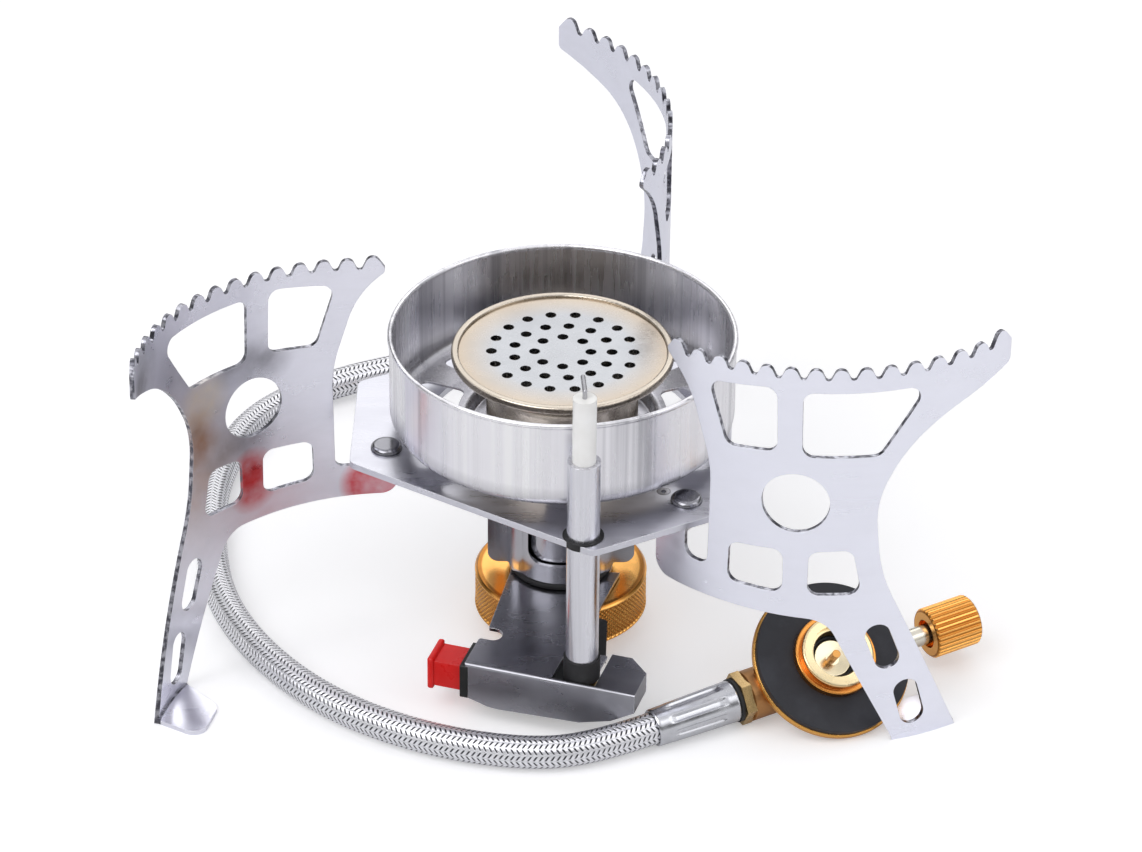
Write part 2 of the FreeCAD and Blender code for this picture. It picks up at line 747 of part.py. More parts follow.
def leg_in_place(master, step, turn):
    placed = master.copy()
    placed.rotate(ORIGIN, UP, LEG_START_ANGLE)
    placed.translate(V(LEG_ARC_CENTRE_X, LEG_ARC_CENTRE_Y, 0))
    placed.rotate(ORIGIN, UP, LEG_STEP_ANGLE * step)
    placed.rotate(rivet_point(step), UP, turn)
    return placed


def leg_rivets():
    rivets = []
    tail_top = TAB_TOP - LEG_SHEET - SLIDING_GAP - WASHER_THICKNESS
    for step in range(3):
        rivet = turned([
            (0, tail_top - RIVET_TAIL_HEIGHT, 0),
            (RIVET_TAIL, tail_top - RIVET_TAIL_HEIGHT, 0.5),
            (RIVET_TAIL, tail_top, 0),
            (RIVET_SHANK, tail_top, 0),
            (RIVET_SHANK, PLATE_TOP, 0),
            (RIVET_HEAD, PLATE_TOP, 0),
            (RIVET_HEAD, PLATE_TOP + RIVET_HEAD_HEIGHT, RIVET_HEAD_ROUND),
            (0, PLATE_TOP + RIVET_HEAD_HEIGHT, 0),
        ])
        rivet.translate(rivet_point(step))
        rivets.append(rivet)
    return Part.makeCompound(rivets)


def leg_washers():
    washers = []
    top = TAB_TOP - LEG_SHEET - SLIDING_GAP
    for step in range(3):
        spot = rivet_point(step)
        washers.append(ring(WASHER_RADIUS, RIVET_SHANK, top - WASHER_THICKNESS, top, spot.x, spot.y))
    return Part.makeCompound(washers)


# ---- Igniter ----

def bracket_front():
    """The front flange: straight top, bowed lower edge."""
    thickness = BRACKET_SHEET
    outline = [
        V(FLANGE_LEFT, 0, BRACKET_TOP),
        V(FLANGE_LEFT, 0, 5.4),
        V(-4.0, 0, 4.6),
        V(-2.5, 0, 4.1),
        V(0.0, 0, 3.9),
        V(18.0, 0, 4.6),
        V(25.0, 0, 6.6),
        V(BRACKET_RIGHT, 0, END_WALL_BOTTOM),
        V(BRACKET_RIGHT, 0, BRACKET_TOP),
    ]
    outline.append(outline[0])
    flange = Part.Face(Part.makePolygon(outline)).extrude(V(0, thickness, 0))
    flange.translate(V(0, FRONT, 0))
    return flange


def igniter_bracket():
    inside = FRONT + BRACKET_SHEET
    sheet = flat_plate([
        (BRACKET_LEFT, FRONT, 0.5),
        (BRACKET_RIGHT, FRONT, 0),
        (BRACKET_RIGHT, -34.5, 0),
        (25.7, -30.0, 0),
        (21.2, -30.0, 0),
        (21.2, inside, 0),
        (11.6, inside, 0),
        (11.6, -34.0, 0),
        (TONGUE_RIGHT, -32.0, 0),
        (TONGUE_RIGHT, 0, 0),
        (-9.3, -6.4, 0),
        (-6.9, -28.9, 0.4),
        (-3.2, -28.9, 2.0),
        (-3.2, -33.2, 2.0),
        (BRACKET_LEFT, -33.2, 0.6),
    ], BRACKET_BOTTOM, BRACKET_TOP)
    bracket = sheet.fuse(rod(BRACKET_HUB, BRACKET_BOTTOM, BRACKET_TOP))
    end_wall = box(BRACKET_RIGHT - BRACKET_SHEET, BRACKET_RIGHT, FRONT, -34.5,
                   END_WALL_BOTTOM, BRACKET_TOP)
    bracket = bracket.fuse([bracket_front(), end_wall])
    bracket = bracket.cut(rod(CORE_BORE, BRACKET_BOTTOM - 1, BRACKET_TOP + 1))
    return igniter_place(bracket.cut(bend_relief()))


def bend_relief():
    """What the folded corner leaves away between the sheet and the front flange."""
    left = BRACKET_LEFT - 1
    right = BRACKET_RIGHT + 1
    corner = box(left, right, FRONT - 1, FRONT + BEND_RADIUS, BRACKET_TOP - BEND_RADIUS,
                 BRACKET_TOP + 1)
    return corner.cut(Part.makeCylinder(BEND_RADIUS, right - left,
                                        V(left, FRONT + BEND_RADIUS, BRACKET_TOP - BEND_RADIUS),
                                        V(1, 0, 0)))


def button_box(width, height, x_low, x_high):
    return box(x_low, x_high, BUTTON_Y - width / 2, BUTTON_Y + width / 2,
               BUTTON_Z - height / 2, BUTTON_Z + height / 2)


def piezo_body():
    body = box(BODY_LEFT, BODY_RIGHT, BODY_FRONT, BODY_BACK, BODY_BOTTOM, BRACKET_BOTTOM)
    body = body.makeFillet(0.4, [edge for edge in body.Edges
                                 if edge.Length > 20 and edge.CenterOfMass.z < BODY_BOTTOM + 1])
    cavity = button_box(BUTTON_WIDTH + 2 * SLIDING_GAP, BUTTON_HEIGHT + 2 * SLIDING_GAP,
                        BODY_LEFT - 1, CAVITY_END)
    return igniter_place(body.cut(cavity))


def piezo_bezel():
    outer = button_box(BEZEL_WIDTH, BEZEL_HEIGHT, BODY_LEFT - BEZEL_THICKNESS, BODY_LEFT)
    outer = outer.makeFillet(0.4, [edge for edge in outer.Edges
                                   if abs(edge.Length - BEZEL_THICKNESS) < 1e-6])
    opening = button_box(BUTTON_WIDTH + 2 * SLIDING_GAP, BUTTON_HEIGHT + 2 * SLIDING_GAP,
                         BODY_LEFT - BEZEL_THICKNESS - 1, BODY_LEFT + 1)
    return igniter_place(outer.cut(opening))


def piezo_button():
    stem = button_box(BUTTON_WIDTH, BUTTON_HEIGHT, BUTTON_OUTER + BUTTON_FACE, BUTTON_INNER)
    face = button_box(BUTTON_FACE_WIDTH, BUTTON_FACE_HEIGHT, BUTTON_OUTER, BUTTON_OUTER + BUTTON_FACE)
    face = face.makeFillet(0.5, face.Edges)
    bore = Part.makeCylinder(BUTTON_BORE, BUTTON_BORE_DEPTH,
                             V(BUTTON_INNER - BUTTON_BORE_DEPTH, BUTTON_Y, BUTTON_Z), V(1, 0, 0))
    return igniter_place(stem.fuse(face).cut(bore))


def button_spring():
    """The return spring at its pressed length, standing on the cavity's end."""
    pitch = SPRING_LENGTH / SPRING_TURNS
    helix = Part.makeHelix(pitch, SPRING_LENGTH, SPRING_RADIUS)
    section = Part.Wire(Part.Circle(V(SPRING_RADIUS, 0, 0), V(0, 1, 0), SPRING_WIRE).toShape())
    coil = Part.Wire(helix.Edges).makePipeShell([section], True, True)
    coil.rotate(ORIGIN, V(0, 1, 0), -90)
    coil.translate(V(CAVITY_END - SPRING_WIRE, BUTTON_Y, BUTTON_Z))
    return igniter_place(coil)


def electrode_sleeve():
    return igniter_place(ring(SLEEVE_RADIUS, CERAMIC_RADIUS + RUNNING_GAP, SLEEVE_BOTTOM,
                              SLEEVE_TOP, ELECTRODE_X, ELECTRODE_Y))


def ceramic_insulator():
    return igniter_place(rod(CERAMIC_RADIUS, SLEEVE_BOTTOM, CERAMIC_TOP, ELECTRODE_X, ELECTRODE_Y))


def rubber_boot():
    boot = rod(BOOT_RADIUS, BRACKET_BOTTOM, BOOT_TOP, ELECTRODE_X, ELECTRODE_Y)
    return igniter_place(boot.cut(rod(SLEEVE_RADIUS, SLEEVE_BOTTOM, BOOT_TOP + 1,
                                      ELECTRODE_X, ELECTRODE_Y)))


def electrode_wire():
    """Straight out of the ceramic, then bent towards the burner."""
    base = electrode_point() + V(0, 0, CERAMIC_TOP)
    inward = (V(0, 0, 0) - electrode_point()).normalize()
    knee = base + V(0, 0, WIRE_RISE)
    tip = knee + inward * WIRE_REACH + V(0, 0, 1.2)
    lower = Part.makeCylinder(WIRE_RADIUS, WIRE_RISE, base)
    upper = Part.makeCylinder(WIRE_RADIUS, (tip - knee).Length, knee, tip - knee)
    return lower.fuse([upper, Part.makeSphere(WIRE_RADIUS, knee)])


def sleeve_grommet():
    grommet = ring(SLEEVE_HOLE, SLEEVE_RADIUS, PLATE_BOTTOM, PLATE_TOP, ELECTRODE_X, ELECTRODE_Y)
    lip = ring(SLEEVE_HOLE + GROMMET_LIP, SLEEVE_RADIUS, PLATE_TOP,
               PLATE_TOP + GROMMET_LIP_HEIGHT, ELECTRODE_X, ELECTRODE_Y)
    return igniter_place(grommet.fuse(lip))


def ignition_lead():
    """A flat black lead beside the bracket's tongue, from under the tongue to its terminal."""
    low = BRACKET_BOTTOM - 0.9
    flat = flat_plate([
        (11.5, -17.0, 0), (11.5, -19.0, 0.5), (14.6, -19.0, 1.0), (18.6, -31.4, 0),
        (20.2, -31.4, 0), (16.0, -17.0, 1.0),
    ], low, BRACKET_BOTTOM)
    return igniter_place(flat)


def lead_terminal():
    """The lead's crimped terminal, resting on the igniter body beside the boot."""
    low = BRACKET_BOTTOM
    plate = flat_plate([
        (16.0, -30.6, 0.3), (16.0, -34.4, 0), (17.2, -36.5, 0), (20.3, -36.5, 0.3),
        (20.3, -33.2, 0.3), (20.4, -30.6, 0.3),
    ], low, low + 0.5)
    return igniter_place(plate.cut(rod(BOOT_RADIUS, low - 1, low + 2, ELECTRODE_X, ELECTRODE_Y)))


def earth_tab():
    """A brass leaf from the front flange to the side of the boot."""
    leaf = box(18.9, 20.6, FRONT + BRACKET_SHEET, -38.6, 12.4, 13.0)
    body = box(BODY_LEFT, BODY_RIGHT, BODY_FRONT, BODY_BACK, BODY_BOTTOM, BRACKET_BOTTOM)
    return igniter_place(leaf.cut(body))


# ---- Canister valve ----

def valve_axis():
    heading = math.radians(VALVE_HEADING)
    pitch = math.radians(VALVE_PITCH)
    return V(math.cos(heading) * math.cos(pitch), math.sin(heading) * math.cos(pitch),
             math.sin(pitch))


def canister_axis():
    heading = math.radians(VALVE_HEADING)
    lean = math.radians(VALVE_LEAN)
    side = V(math.sin(heading), -math.cos(heading), 0)
    above = side.cross(valve_axis())
    return side * math.cos(lean) + above * math.sin(lean)


def valve_place(shape):
    along = valve_axis()
    normal = canister_axis()
    turn = FreeCAD.Rotation(along, normal.cross(along), normal, "ZXY")
    placed = shape.copy()
    placed.Placement = FreeCAD.Placement(VALVE_AT, turn).multiply(shape.Placement)
    return placed


def valve_bar(radius, start, end):
    return Part.makeCylinder(radius, end - start, V(start, 0, 0), V(1, 0, 0))


def valve_body():
    body = valve_bar(VALVE_BODY, VALVE_BODY_START, VALVE_BODY_END)
    body = body.fuse(rod(VALVE_BOSS, 0, FLANGE_BACK))
    body = body.cut(rod(THREAD_BORE, THREAD_FLOOR, FLANGE_BACK + 5))
    stem = valve_bar(SPINDLE_RADIUS + RUNNING_GAP, SPINDLE_START - 0.5, VALVE_BODY_END + 1)
    return valve_place(body.cut(stem))


def body_clearance():
    return valve_bar(VALVE_BODY, VALVE_BODY_START, VALVE_BODY_END)


def adapter_flange():
    flange = ring(FLANGE_RADIUS, COLLAR_SHANK, FLANGE_BACK, FLANGE_FRONT)
    rim = [edge for edge in flange.Edges if abs(edge.BoundBox.XMax - FLANGE_RADIUS) < 0.01
           and edge.Curve.TypeId == "Part::GeomCircle"]
    return valve_place(flange.makeChamfer(0.3, rim).cut(body_clearance()))


def flange_pad():
    return valve_place(ring(PAD_RADIUS, COLLAR_SHANK, FLANGE_FRONT, PAD_FRONT))


def threaded_collar():
    collar = turned([
        (THREAD_BORE, FLANGE_BACK, 0),
        (COLLAR_SHANK, FLANGE_BACK, 0),
        (COLLAR_SHANK, PAD_FRONT, 0),
        (COLLAR_HEAD, PAD_FRONT, 0),
        (COLLAR_HEAD, COLLAR_STEP_AT, 0.3),
        (COLLAR_STEP, COLLAR_STEP_AT, 0),
        (COLLAR_STEP, THREAD_FRONT, 0.6),
        (THREAD_MOUTH, THREAD_FRONT, 0),
        (THREAD_MOUTH, THREAD_FRONT - THREAD_MOUTH_DEPTH, 0),
        (THREAD_BORE, THREAD_FRONT - THREAD_MOUTH_DEPTH, 0),
    ])
    return valve_place(collar.cut(body_clearance()))


def valve_o_ring():
    return valve_place(Part.makeTorus(O_RING_MIDDLE, O_RING_WIRE,
                                      V(0, 0, SEAT_SHOULDER + O_RING_WIRE)))


def depressor_seat():
    return valve_place(turned([
        (0, THREAD_FLOOR, 0),
        (THREAD_BORE, THREAD_FLOOR, 0),
        (THREAD_BORE, SEAT_SHOULDER, 0),
        (SEAT_RADIUS, SEAT_SHOULDER, 0),
        (SEAT_RADIUS, SEAT_TOP, 0.3),
        (PIN_RADIUS + 0.6, SEAT_TOP - SEAT_DISH, 0),
        (0, SEAT_TOP - SEAT_DISH, 0),
    ]))


def depressor_pin():
    return valve_place(rod(PIN_RADIUS, SEAT_TOP - SEAT_DISH, PIN_TOP))


def valve_nut():
    nut = along_x(prism(NUT_FLATS, NUT_START, VALVE_BODY_START, 0))
    nut.rotate(ORIGIN, V(1, 0, 0), VALVE_LEAN - 30)
    return valve_place(nut)


def ferrule_seal():
    return valve_place(valve_bar(SEAL_OUTER, SEAL_START, NUT_START))


def valve_ferrule():
    cone = Part.makeCone(FERRULE_BIG, FERRULE_SMALL, SEAL_START - FERRULE_END,
                         V(SEAL_START, 0, 0), V(-1, 0, 0))
    return valve_place(cone)


def gland_nut():
    nut = along_x(prism(2 * GLAND_RADIUS - 0.6, VALVE_BODY_END, GLAND_END, 0))
    nut.rotate(ORIGIN, V(1, 0, 0), VALVE_LEAN - 30)
    return valve_place(nut.cut(valve_bar(SPINDLE_RADIUS + RUNNING_GAP, 0, GLAND_END + 1)))


def valve_spindle():
    return valve_place(valve_bar(SPINDLE_RADIUS, SPINDLE_START, SPINDLE_END))


def control_knob():
    knob = valve_bar(KNOB_RADIUS, KNOB_START, KNOB_END)
    ends = [edge for edge in knob.Edges if edge.Curve.TypeId == "Part::GeomCircle"]
    knob = knob.makeChamfer(KNOB_CHAMFER, ends)
    grooves = []
    for step in range(KNOB_GROOVES):
        spot = polar(KNOB_RADIUS, 360 * step / KNOB_GROOVES)
        grooves.append(Part.makeCylinder(KNOB_GROOVE, KNOB_END - KNOB_START,
                                         V(KNOB_START, spot.x, spot.y), V(1, 0, 0)))
    knob = knob.cut(Part.makeCompound(grooves))
    knob = knob.cut(valve_bar(KNOB_RECESS, KNOB_START - 1, KNOB_START + KNOB_RECESS_DEPTH))
    return valve_place(knob.cut(valve_bar(SPINDLE_RADIUS, KNOB_START - 1, SPINDLE_END)))


# ---- Hose ----

def hose_points():
    start = VALVE_AT + valve_axis() * FERRULE_END
    second = start - valve_axis() * HOSE_FIRST_RUN
    end = polar(REAR_FERRULE_END, INLET_ANGLE, INLET_HEIGHT)
    last = polar(REAR_FERRULE_END + HOSE_LAST_RUN, INLET_ANGLE, INLET_HEIGHT)
    return [start, second] + HOSE_ROUTE + [last, end]


def gas_hose():
    points = hose_points()
    edges = []
    here = points[0]
    for index in range(1, len(points) - 1):
        corner = points[index]
        back = points[index - 1] - corner
        onward = points[index + 1] - corner
        cut = HOSE_BEND_SHARE * min(back.Length, onward.Length)
        back.normalize()
        onward.normalize()
        half_turn = (math.pi - back.getAngle(onward)) / 2
        radius = cut / math.tan(half_turn)
        start = corner + back * cut
        end = corner + onward * cut
        inward = (back + onward).normalize()
        middle = corner + inward * (radius / math.cos(half_turn) - radius)
        edges.append(Part.LineSegment(here, start).toShape())
        edges.append(Part.Arc(start, middle, end).toShape())
        here = end
        print("hose bend", index, "radius", round(radius, 1))
    edges.append(Part.LineSegment(here, points[-1]).toShape())
    route = Part.Wire(edges)
    section = Part.Wire(Part.Circle(points[0], points[1] - points[0], HOSE_RADIUS).toShape())
    hose = route.makePipeShell([section], True, False)
    print("hose length", round(route.Length, 1), "volume share",
          round(hose.Volume / (math.pi * HOSE_RADIUS ** 2 * route.Length), 5))
    return hose


def build():
    os.makedirs("parts", exist_ok=True)
    save("base_plate", base_plate())
    save("detent_eyelets", detent_eyelets())
    save("wind_cup", wind_cup())
    save("burner_head", burner_head())
    save("burner_disc", burner_disc())
    save("mixing_tube", mixing_tube())
    save("hub_hood", hub_hood())
    save("hub_seal", hub_seal())
    save("knurled_collar", knurled_collar())
    save("gas_core", gas_core())
    save("gas_jet", gas_jet())
    save("inlet_fitting", inlet_fitting())
    save("rear_ferrule", rear_ferrule())
    master = leg()
    save("leg_left", leg_in_place(master, 0, 0))
    save("leg_right", leg_in_place(master, 1, RIGHT_LEG_TURN))
    save("leg_back", leg_in_place(master, 2, 0))
    save("leg_rivets", leg_rivets())
    save("leg_washers", leg_washers())
    save("igniter_bracket", igniter_bracket())
    save("piezo_body", piezo_body())
    save("piezo_bezel", piezo_bezel())
    save("piezo_button", piezo_button())
    save("button_spring", button_spring())
    save("electrode_sleeve", electrode_sleeve())
    save("ceramic_insulator", ceramic_insulator())
    save("electrode_wire", electrode_wire())
    save("rubber_boot", rubber_boot())
    save("sleeve_grommet", sleeve_grommet())
    save("ignition_lead", ignition_lead())
    save("lead_terminal", lead_terminal())
    save("earth_tab", earth_tab())
    save("valve_body", valve_body())
    save("adapter_flange", adapter_flange())
    save("flange_pad", flange_pad())
    save("threaded_collar", threaded_collar())
    save("valve_o_ring", valve_o_ring())
    save("depressor_seat", depressor_seat())
    save("depressor_pin", depressor_pin())
    save("valve_nut", valve_nut())
    save("ferrule_seal", ferrule_seal())
    save("valve_ferrule", valve_ferrule())
    save("gland_nut", gland_nut())
    save("valve_spindle", valve_spindle())
    save("control_knob", control_knob())
    save("gas_hose", gas_hose())


build()
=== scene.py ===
import json
import math

import bmesh
import bpy
import numpy as np
from mathutils import Matrix, Vector


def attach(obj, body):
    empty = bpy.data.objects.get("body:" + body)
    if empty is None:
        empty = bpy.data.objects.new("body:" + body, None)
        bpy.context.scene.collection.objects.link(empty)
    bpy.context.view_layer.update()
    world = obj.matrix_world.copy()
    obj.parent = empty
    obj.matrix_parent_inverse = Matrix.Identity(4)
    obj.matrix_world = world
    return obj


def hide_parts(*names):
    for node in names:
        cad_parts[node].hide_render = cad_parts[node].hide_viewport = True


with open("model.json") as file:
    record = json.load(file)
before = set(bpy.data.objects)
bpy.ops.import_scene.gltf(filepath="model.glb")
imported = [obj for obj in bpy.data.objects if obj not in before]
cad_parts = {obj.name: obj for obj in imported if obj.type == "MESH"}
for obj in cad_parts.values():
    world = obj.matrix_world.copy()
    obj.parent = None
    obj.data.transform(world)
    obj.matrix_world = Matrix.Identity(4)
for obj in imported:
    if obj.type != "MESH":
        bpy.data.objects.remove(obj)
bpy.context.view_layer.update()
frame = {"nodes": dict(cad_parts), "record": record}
RECORD = frame["record"]
NODES = frame["nodes"]
MM = 0.001

# the radius that edges are shaded to; the lean of the rounded normal where a rim begins and is
# full; how far a cut face's normal may turn, and how far it may lie from the sheet's radius
EDGE_ROUND = 0.16 * MM
RIM_LEAN = (0.985, 0.86)
CUT_TURN = (0.75, 0.45)
CUT_REACH = (1.1 * MM, 0.9 * MM)


# ---------------------------------------------------------------- helpers

def from_screen(red, green, blue):
    """A linear colour from an 8-bit screen colour: x / 12.92 below 0.04045, and above it
    (x + 0.055) / 1.055 to the power 2.4, on each channel."""
    values = np.array([red, green, blue]) / 255.0
    linear = np.where(values <= 0.04045, values / 12.92, ((values + 0.055) / 1.055) ** 2.4)
    return (float(linear[0]), float(linear[1]), float(linear[2]), 1.0)


class Look:
    """A material being wired up: add() places a node and sets its inputs or links them."""

    def __init__(self, name, colour, metallic=0.0, roughness=0.5):
        self.material = bpy.data.materials.new(name)
        self.material.use_nodes = True
        self.tree = self.material.node_tree
        self.shader = self.tree.nodes["Principled BSDF"]
        self.feed(self.shader, "Base Color", colour)
        self.feed(self.shader, "Metallic", metallic)
        self.feed(self.shader, "Roughness", roughness)

    def feed(self, target, socket, value):
        if isinstance(value, bpy.types.NodeSocket):
            self.tree.links.new(value, target.inputs[socket])
        else:
            target.inputs[socket].default_value = value

    def add(self, kind, settings=None, inputs=None):
        made = self.tree.nodes.new(kind)
        for key, value in (settings or {}).items():
            setattr(made, key, value)
        for key, value in (inputs or {}).items():
            self.feed(made, key, value)
        return made

    def spot(self):
        return self.add("ShaderNodeTexCoord").outputs["Object"]

    def stretched(self, scale):
        return self.add("ShaderNodeMapping", None, {
            "Vector": self.spot(), "Scale": scale}).outputs["Vector"]

    def noise(self, vector, scale=1.0, detail=3.0, roughness=0.55):
        return self.add("ShaderNodeTexNoise", None, {
            "Vector": vector, "Scale": scale, "Detail": detail, "Roughness": roughness,
        }).outputs["Fac"]

    def calc(self, operation, first, second=0.0, third=0.0, clamp=False):
        made = self.add("ShaderNodeMath", {"operation": operation, "use_clamp": clamp})
        self.feed(made, 0, first)
        self.feed(made, 1, second)
        self.feed(made, 2, third)
        return made.outputs[0]

    def span(self, value, low, high, to_low=0.0, to_high=1.0):
        return self.add("ShaderNodeMapRange", {"clamp": True}, {
            "Value": value, "From Min": low, "From Max": high, "To Min": to_low,
            "To Max": to_high,
        }).outputs["Result"]

    def blend(self, share, first, second):
        made = self.add("ShaderNodeMix", {"data_type": "RGBA"})
        self.feed(made, 0, share)
        self.feed(made, 6, first)
        self.feed(made, 7, second)
        return made.outputs[2]

    def near(self, centre, radius, soft):
        """1 inside a ball about centre, fading to 0 over soft; metres."""
        gap = self.add("ShaderNodeVectorMath", {"operation": "DISTANCE"}, {
            0: self.spot(), 1: centre}).outputs["Value"]
        return self.span(gap, radius, radius + soft, 1.0, 0.0)

    def relief(self, height, strength, distance, under=None):
        made = self.add("ShaderNodeBump", None, {
            "Height": height, "Strength": strength, "Distance": distance})
        if under is not None:
            self.feed(made, "Normal", under)
        return made.outputs["Normal"]

    def edges(self, width):
        """Normals rounded over near edges; width in metres."""
        return self.add("ShaderNodeBevel", {"samples": 6}, {"Radius": width}).outputs["Normal"]

    def rim(self, width):
        """1 beside an edge, 0 on open faces: how far the rounded normal leans from the flat one."""
        lean = self.add("ShaderNodeVectorMath", {"operation": "DOT_PRODUCT"}, {
            0: self.edges(width), 1: self.add("ShaderNodeNewGeometry").outputs["Normal"],
        }).outputs["Value"]
        return self.span(lean, *RIM_LEAN)

    def cut_face(self, centre):
        """1 on the cut faces of a sheet rolled about an upright line through centre: there the
        normal stands square to the way out from the line, at the sheet's own radius."""
        gap = self.add("ShaderNodeVectorMath", {"operation": "SUBTRACT"}, {
            0: self.spot(), 1: (centre[0], centre[1], 0.0)}).outputs["Vector"]
        flat = self.add("ShaderNodeVectorMath", {"operation": "MULTIPLY"}, {
            0: gap, 1: (1, 1, 0)}).outputs["Vector"]
        reach = self.add("ShaderNodeVectorMath", {"operation": "LENGTH"}, {
            0: flat}).outputs["Value"]
        way = self.add("ShaderNodeVectorMath", {"operation": "NORMALIZE"}, {
            0: flat}).outputs["Vector"]
        facing = self.add("ShaderNodeVectorMath", {"operation": "DOT_PRODUCT"}, {
            0: way, 1: self.add("ShaderNodeTexCoord").outputs["Normal"]}).outputs["Value"]
        off = self.calc("ABSOLUTE", self.calc("SUBTRACT", reach, LEG_ARC))
        return self.calc("MULTIPLY", self.span(self.calc("ABSOLUTE", facing), *CUT_TURN),
                         self.span(off, *CUT_REACH))

    def axis(self, which):
        return self.add("ShaderNodeSeparateXYZ", None, {0: self.spot()}).outputs[which]

    def off_axis(self, origin, axis):
        """Distance from a line through origin along axis; metres."""
        gap = self.add("ShaderNodeVectorMath", {"operation": "SUBTRACT"}, {
            0: self.spot(), 1: tuple(origin)}).outputs["Vector"]
        across = self.add("ShaderNodeVectorMath", {"operation": "CROSS_PRODUCT"}, {
            0: gap, 1: tuple(axis)}).outputs["Vector"]
        return self.add("ShaderNodeVectorMath", {"operation": "LENGTH"}, {
            0: across}).outputs["Value"]


def metal(name, colour, roughness, grain, streak, dirt, dents=0.0):
    """Bare metal: drawn grain along one axis, cloudy roughness, faint stains, rounded edges.

    grain is how often the drawn lines change along x, y and z, per metre."""
    look = Look(name, colour, 1.0, roughness)
    lines = look.noise(look.stretched(grain), 1.0, 4.0, 0.6)
    cloud = look.noise(look.spot(), 60.0, 3.0)
    fine = look.noise(look.spot(), 900.0, 2.0)
    rough = look.calc("ADD", look.span(lines, 0.3, 0.7, roughness * 0.8, roughness * 1.25),
                      look.span(cloud, 0.35, 0.7, -0.03, 0.05))
    look.feed(look.shader, "Roughness", rough)
    shade = look.blend(look.span(lines, 0.35, 0.65), dimmed(colour, 1 - streak * 2), colour)
    shade = look.blend(look.span(cloud, 0.5, 0.75, 0.0, dirt * 4), shade,
                       dimmed(colour, 1 - dirt * 3))
    look.shade = shade
    look.feed(look.shader, "Base Color", shade)
    normal = look.relief(lines, 0.12, 0.00002, look.edges(EDGE_ROUND))
    normal = look.relief(fine, 0.05, 0.00002, normal)
    if dents:
        wave = look.noise(look.spot(), 45.0, 1.0)
        normal = look.relief(wave, dents, 0.0008, normal)
    look.feed(look.shader, "Normal", normal)
    return look


def edged(look, width, colour, strength=0.85):
    """Changes a look's colour beside its edges: dark on blanked sheet, a painted highlight where
    the colour is pale, painted shade round rivet and eyelet rims.
    """
    look.shade = look.blend(look.calc("MULTIPLY", look.rim(width), strength), look.shade, colour)
    look.feed(look.shader, "Base Color", look.shade)
    return look


def cut(look, centre):
    """Leaves the blanked edges of a rolled sheet dark, broken by bright specks."""
    specks = look.span(look.noise(look.spot(), 700.0, 3.0), 0.42, 0.62, 1.0, 0.45)
    share = look.calc("MULTIPLY", look.cut_face(centre), specks)
    look.shade = look.blend(share, look.shade, from_screen(92, 92, 100))
    look.feed(look.shader, "Base Color", look.shade)
    return look


def dimmed(colour, share):
    return tuple(channel * share for channel in colour[:3]) + (1.0,)


def soft_black(name, colour, roughness, grain=700.0, specular=0.4):
    """Moulded rubber or plastic: fine pitting, dust and slight wear."""
    look = Look(name, colour, 0.0, roughness)
    pits = look.noise(look.spot(), grain, 3.0)
    dust = look.noise(look.spot(), 120.0, 4.0)
    pale = tuple(min(1.0, channel * 1.8 + 0.012) for channel in colour[:3]) + (1.0,)
    look.feed(look.shader, "Base Color", look.blend(look.span(dust, 0.5, 0.85), colour, pale))
    look.feed(look.shader, "Roughness", look.span(dust, 0.3, 0.8, roughness * 0.85,
                                                  min(1.0, roughness * 1.2)))
    look.feed(look.shader, "Normal", look.relief(pits, 0.10, 0.00003, look.edges(0.25 * MM)))
    look.shader.inputs["Specular IOR Level"].default_value = specular
    return look


def tinted(look, patches):
    """Lays soft colour patches over a look: (centre, radius, fade, strength, colour)."""
    shade = look.shade
    ragged = look.span(look.noise(look.spot(), 140.0, 4.0), 0.3, 0.7, 0.35, 1.0)
    for centre, radius, fade, strength, colour in patches:
        share = look.calc("MULTIPLY", look.near(centre, radius, fade), strength)
        shade = look.blend(look.calc("MULTIPLY", share, ragged), shade, colour)
    look.shade = shade
    look.feed(look.shader, "Base Color", shade)
    return look


def link_object(name, mesh):
    piece = bpy.data.objects.new(name, mesh)
    bpy.context.scene.collection.objects.link(piece)
    return piece


def grid_mesh(name, points, ring_first, ring_second):
    """A surface through a two-way array of points (rows, columns, xyz).

    Row i column j joins its neighbours in quads; a ring wraps its last line to its first.
    Coincident points at poles are welded."""
    rows, columns = points.shape[:2]
    i = np.arange(rows if ring_first else rows - 1)
    j = np.arange(columns if ring_second else columns - 1)
    i, j = [a.ravel() for a in np.meshgrid(i, j, indexing="ij")]
    next_i = (i + 1) % rows
    next_j = (j + 1) % columns
    quads = np.stack([i * columns + j, next_i * columns + j,
                      next_i * columns + next_j, i * columns + next_j], axis=1)
    mesh = bpy.data.meshes.new(name)
    mesh.from_pydata(points.reshape(-1, 3).tolist(), [], quads.tolist())
    work = bmesh.new()
    work.from_mesh(mesh)
    bmesh.ops.remove_doubles(work, verts=work.verts, dist=1e-8)
    bmesh.ops.recalc_face_normals(work, faces=work.faces)
    work.to_mesh(mesh)
    work.free()
    mesh.polygons.foreach_set("use_smooth", np.ones(len(mesh.polygons), bool))
    return mesh


def spun(profile, steps, ripple):
    """Points of a closed profile turned about Z: x = r cos t, y = r sin t, z.

    ripple(angle, radius, height) adds to the radius."""
    angle = np.linspace(0, 2 * math.pi, steps, endpoint=False)[:, None]
    radius = profile[None, :, 0] + np.zeros_like(angle)
    height = profile[None, :, 1] + np.zeros_like(angle)
    radius = radius + ripple(angle + np.zeros_like(radius), radius, height)
    return np.stack([radius * np.cos(angle), radius * np.sin(angle), height], axis=2)


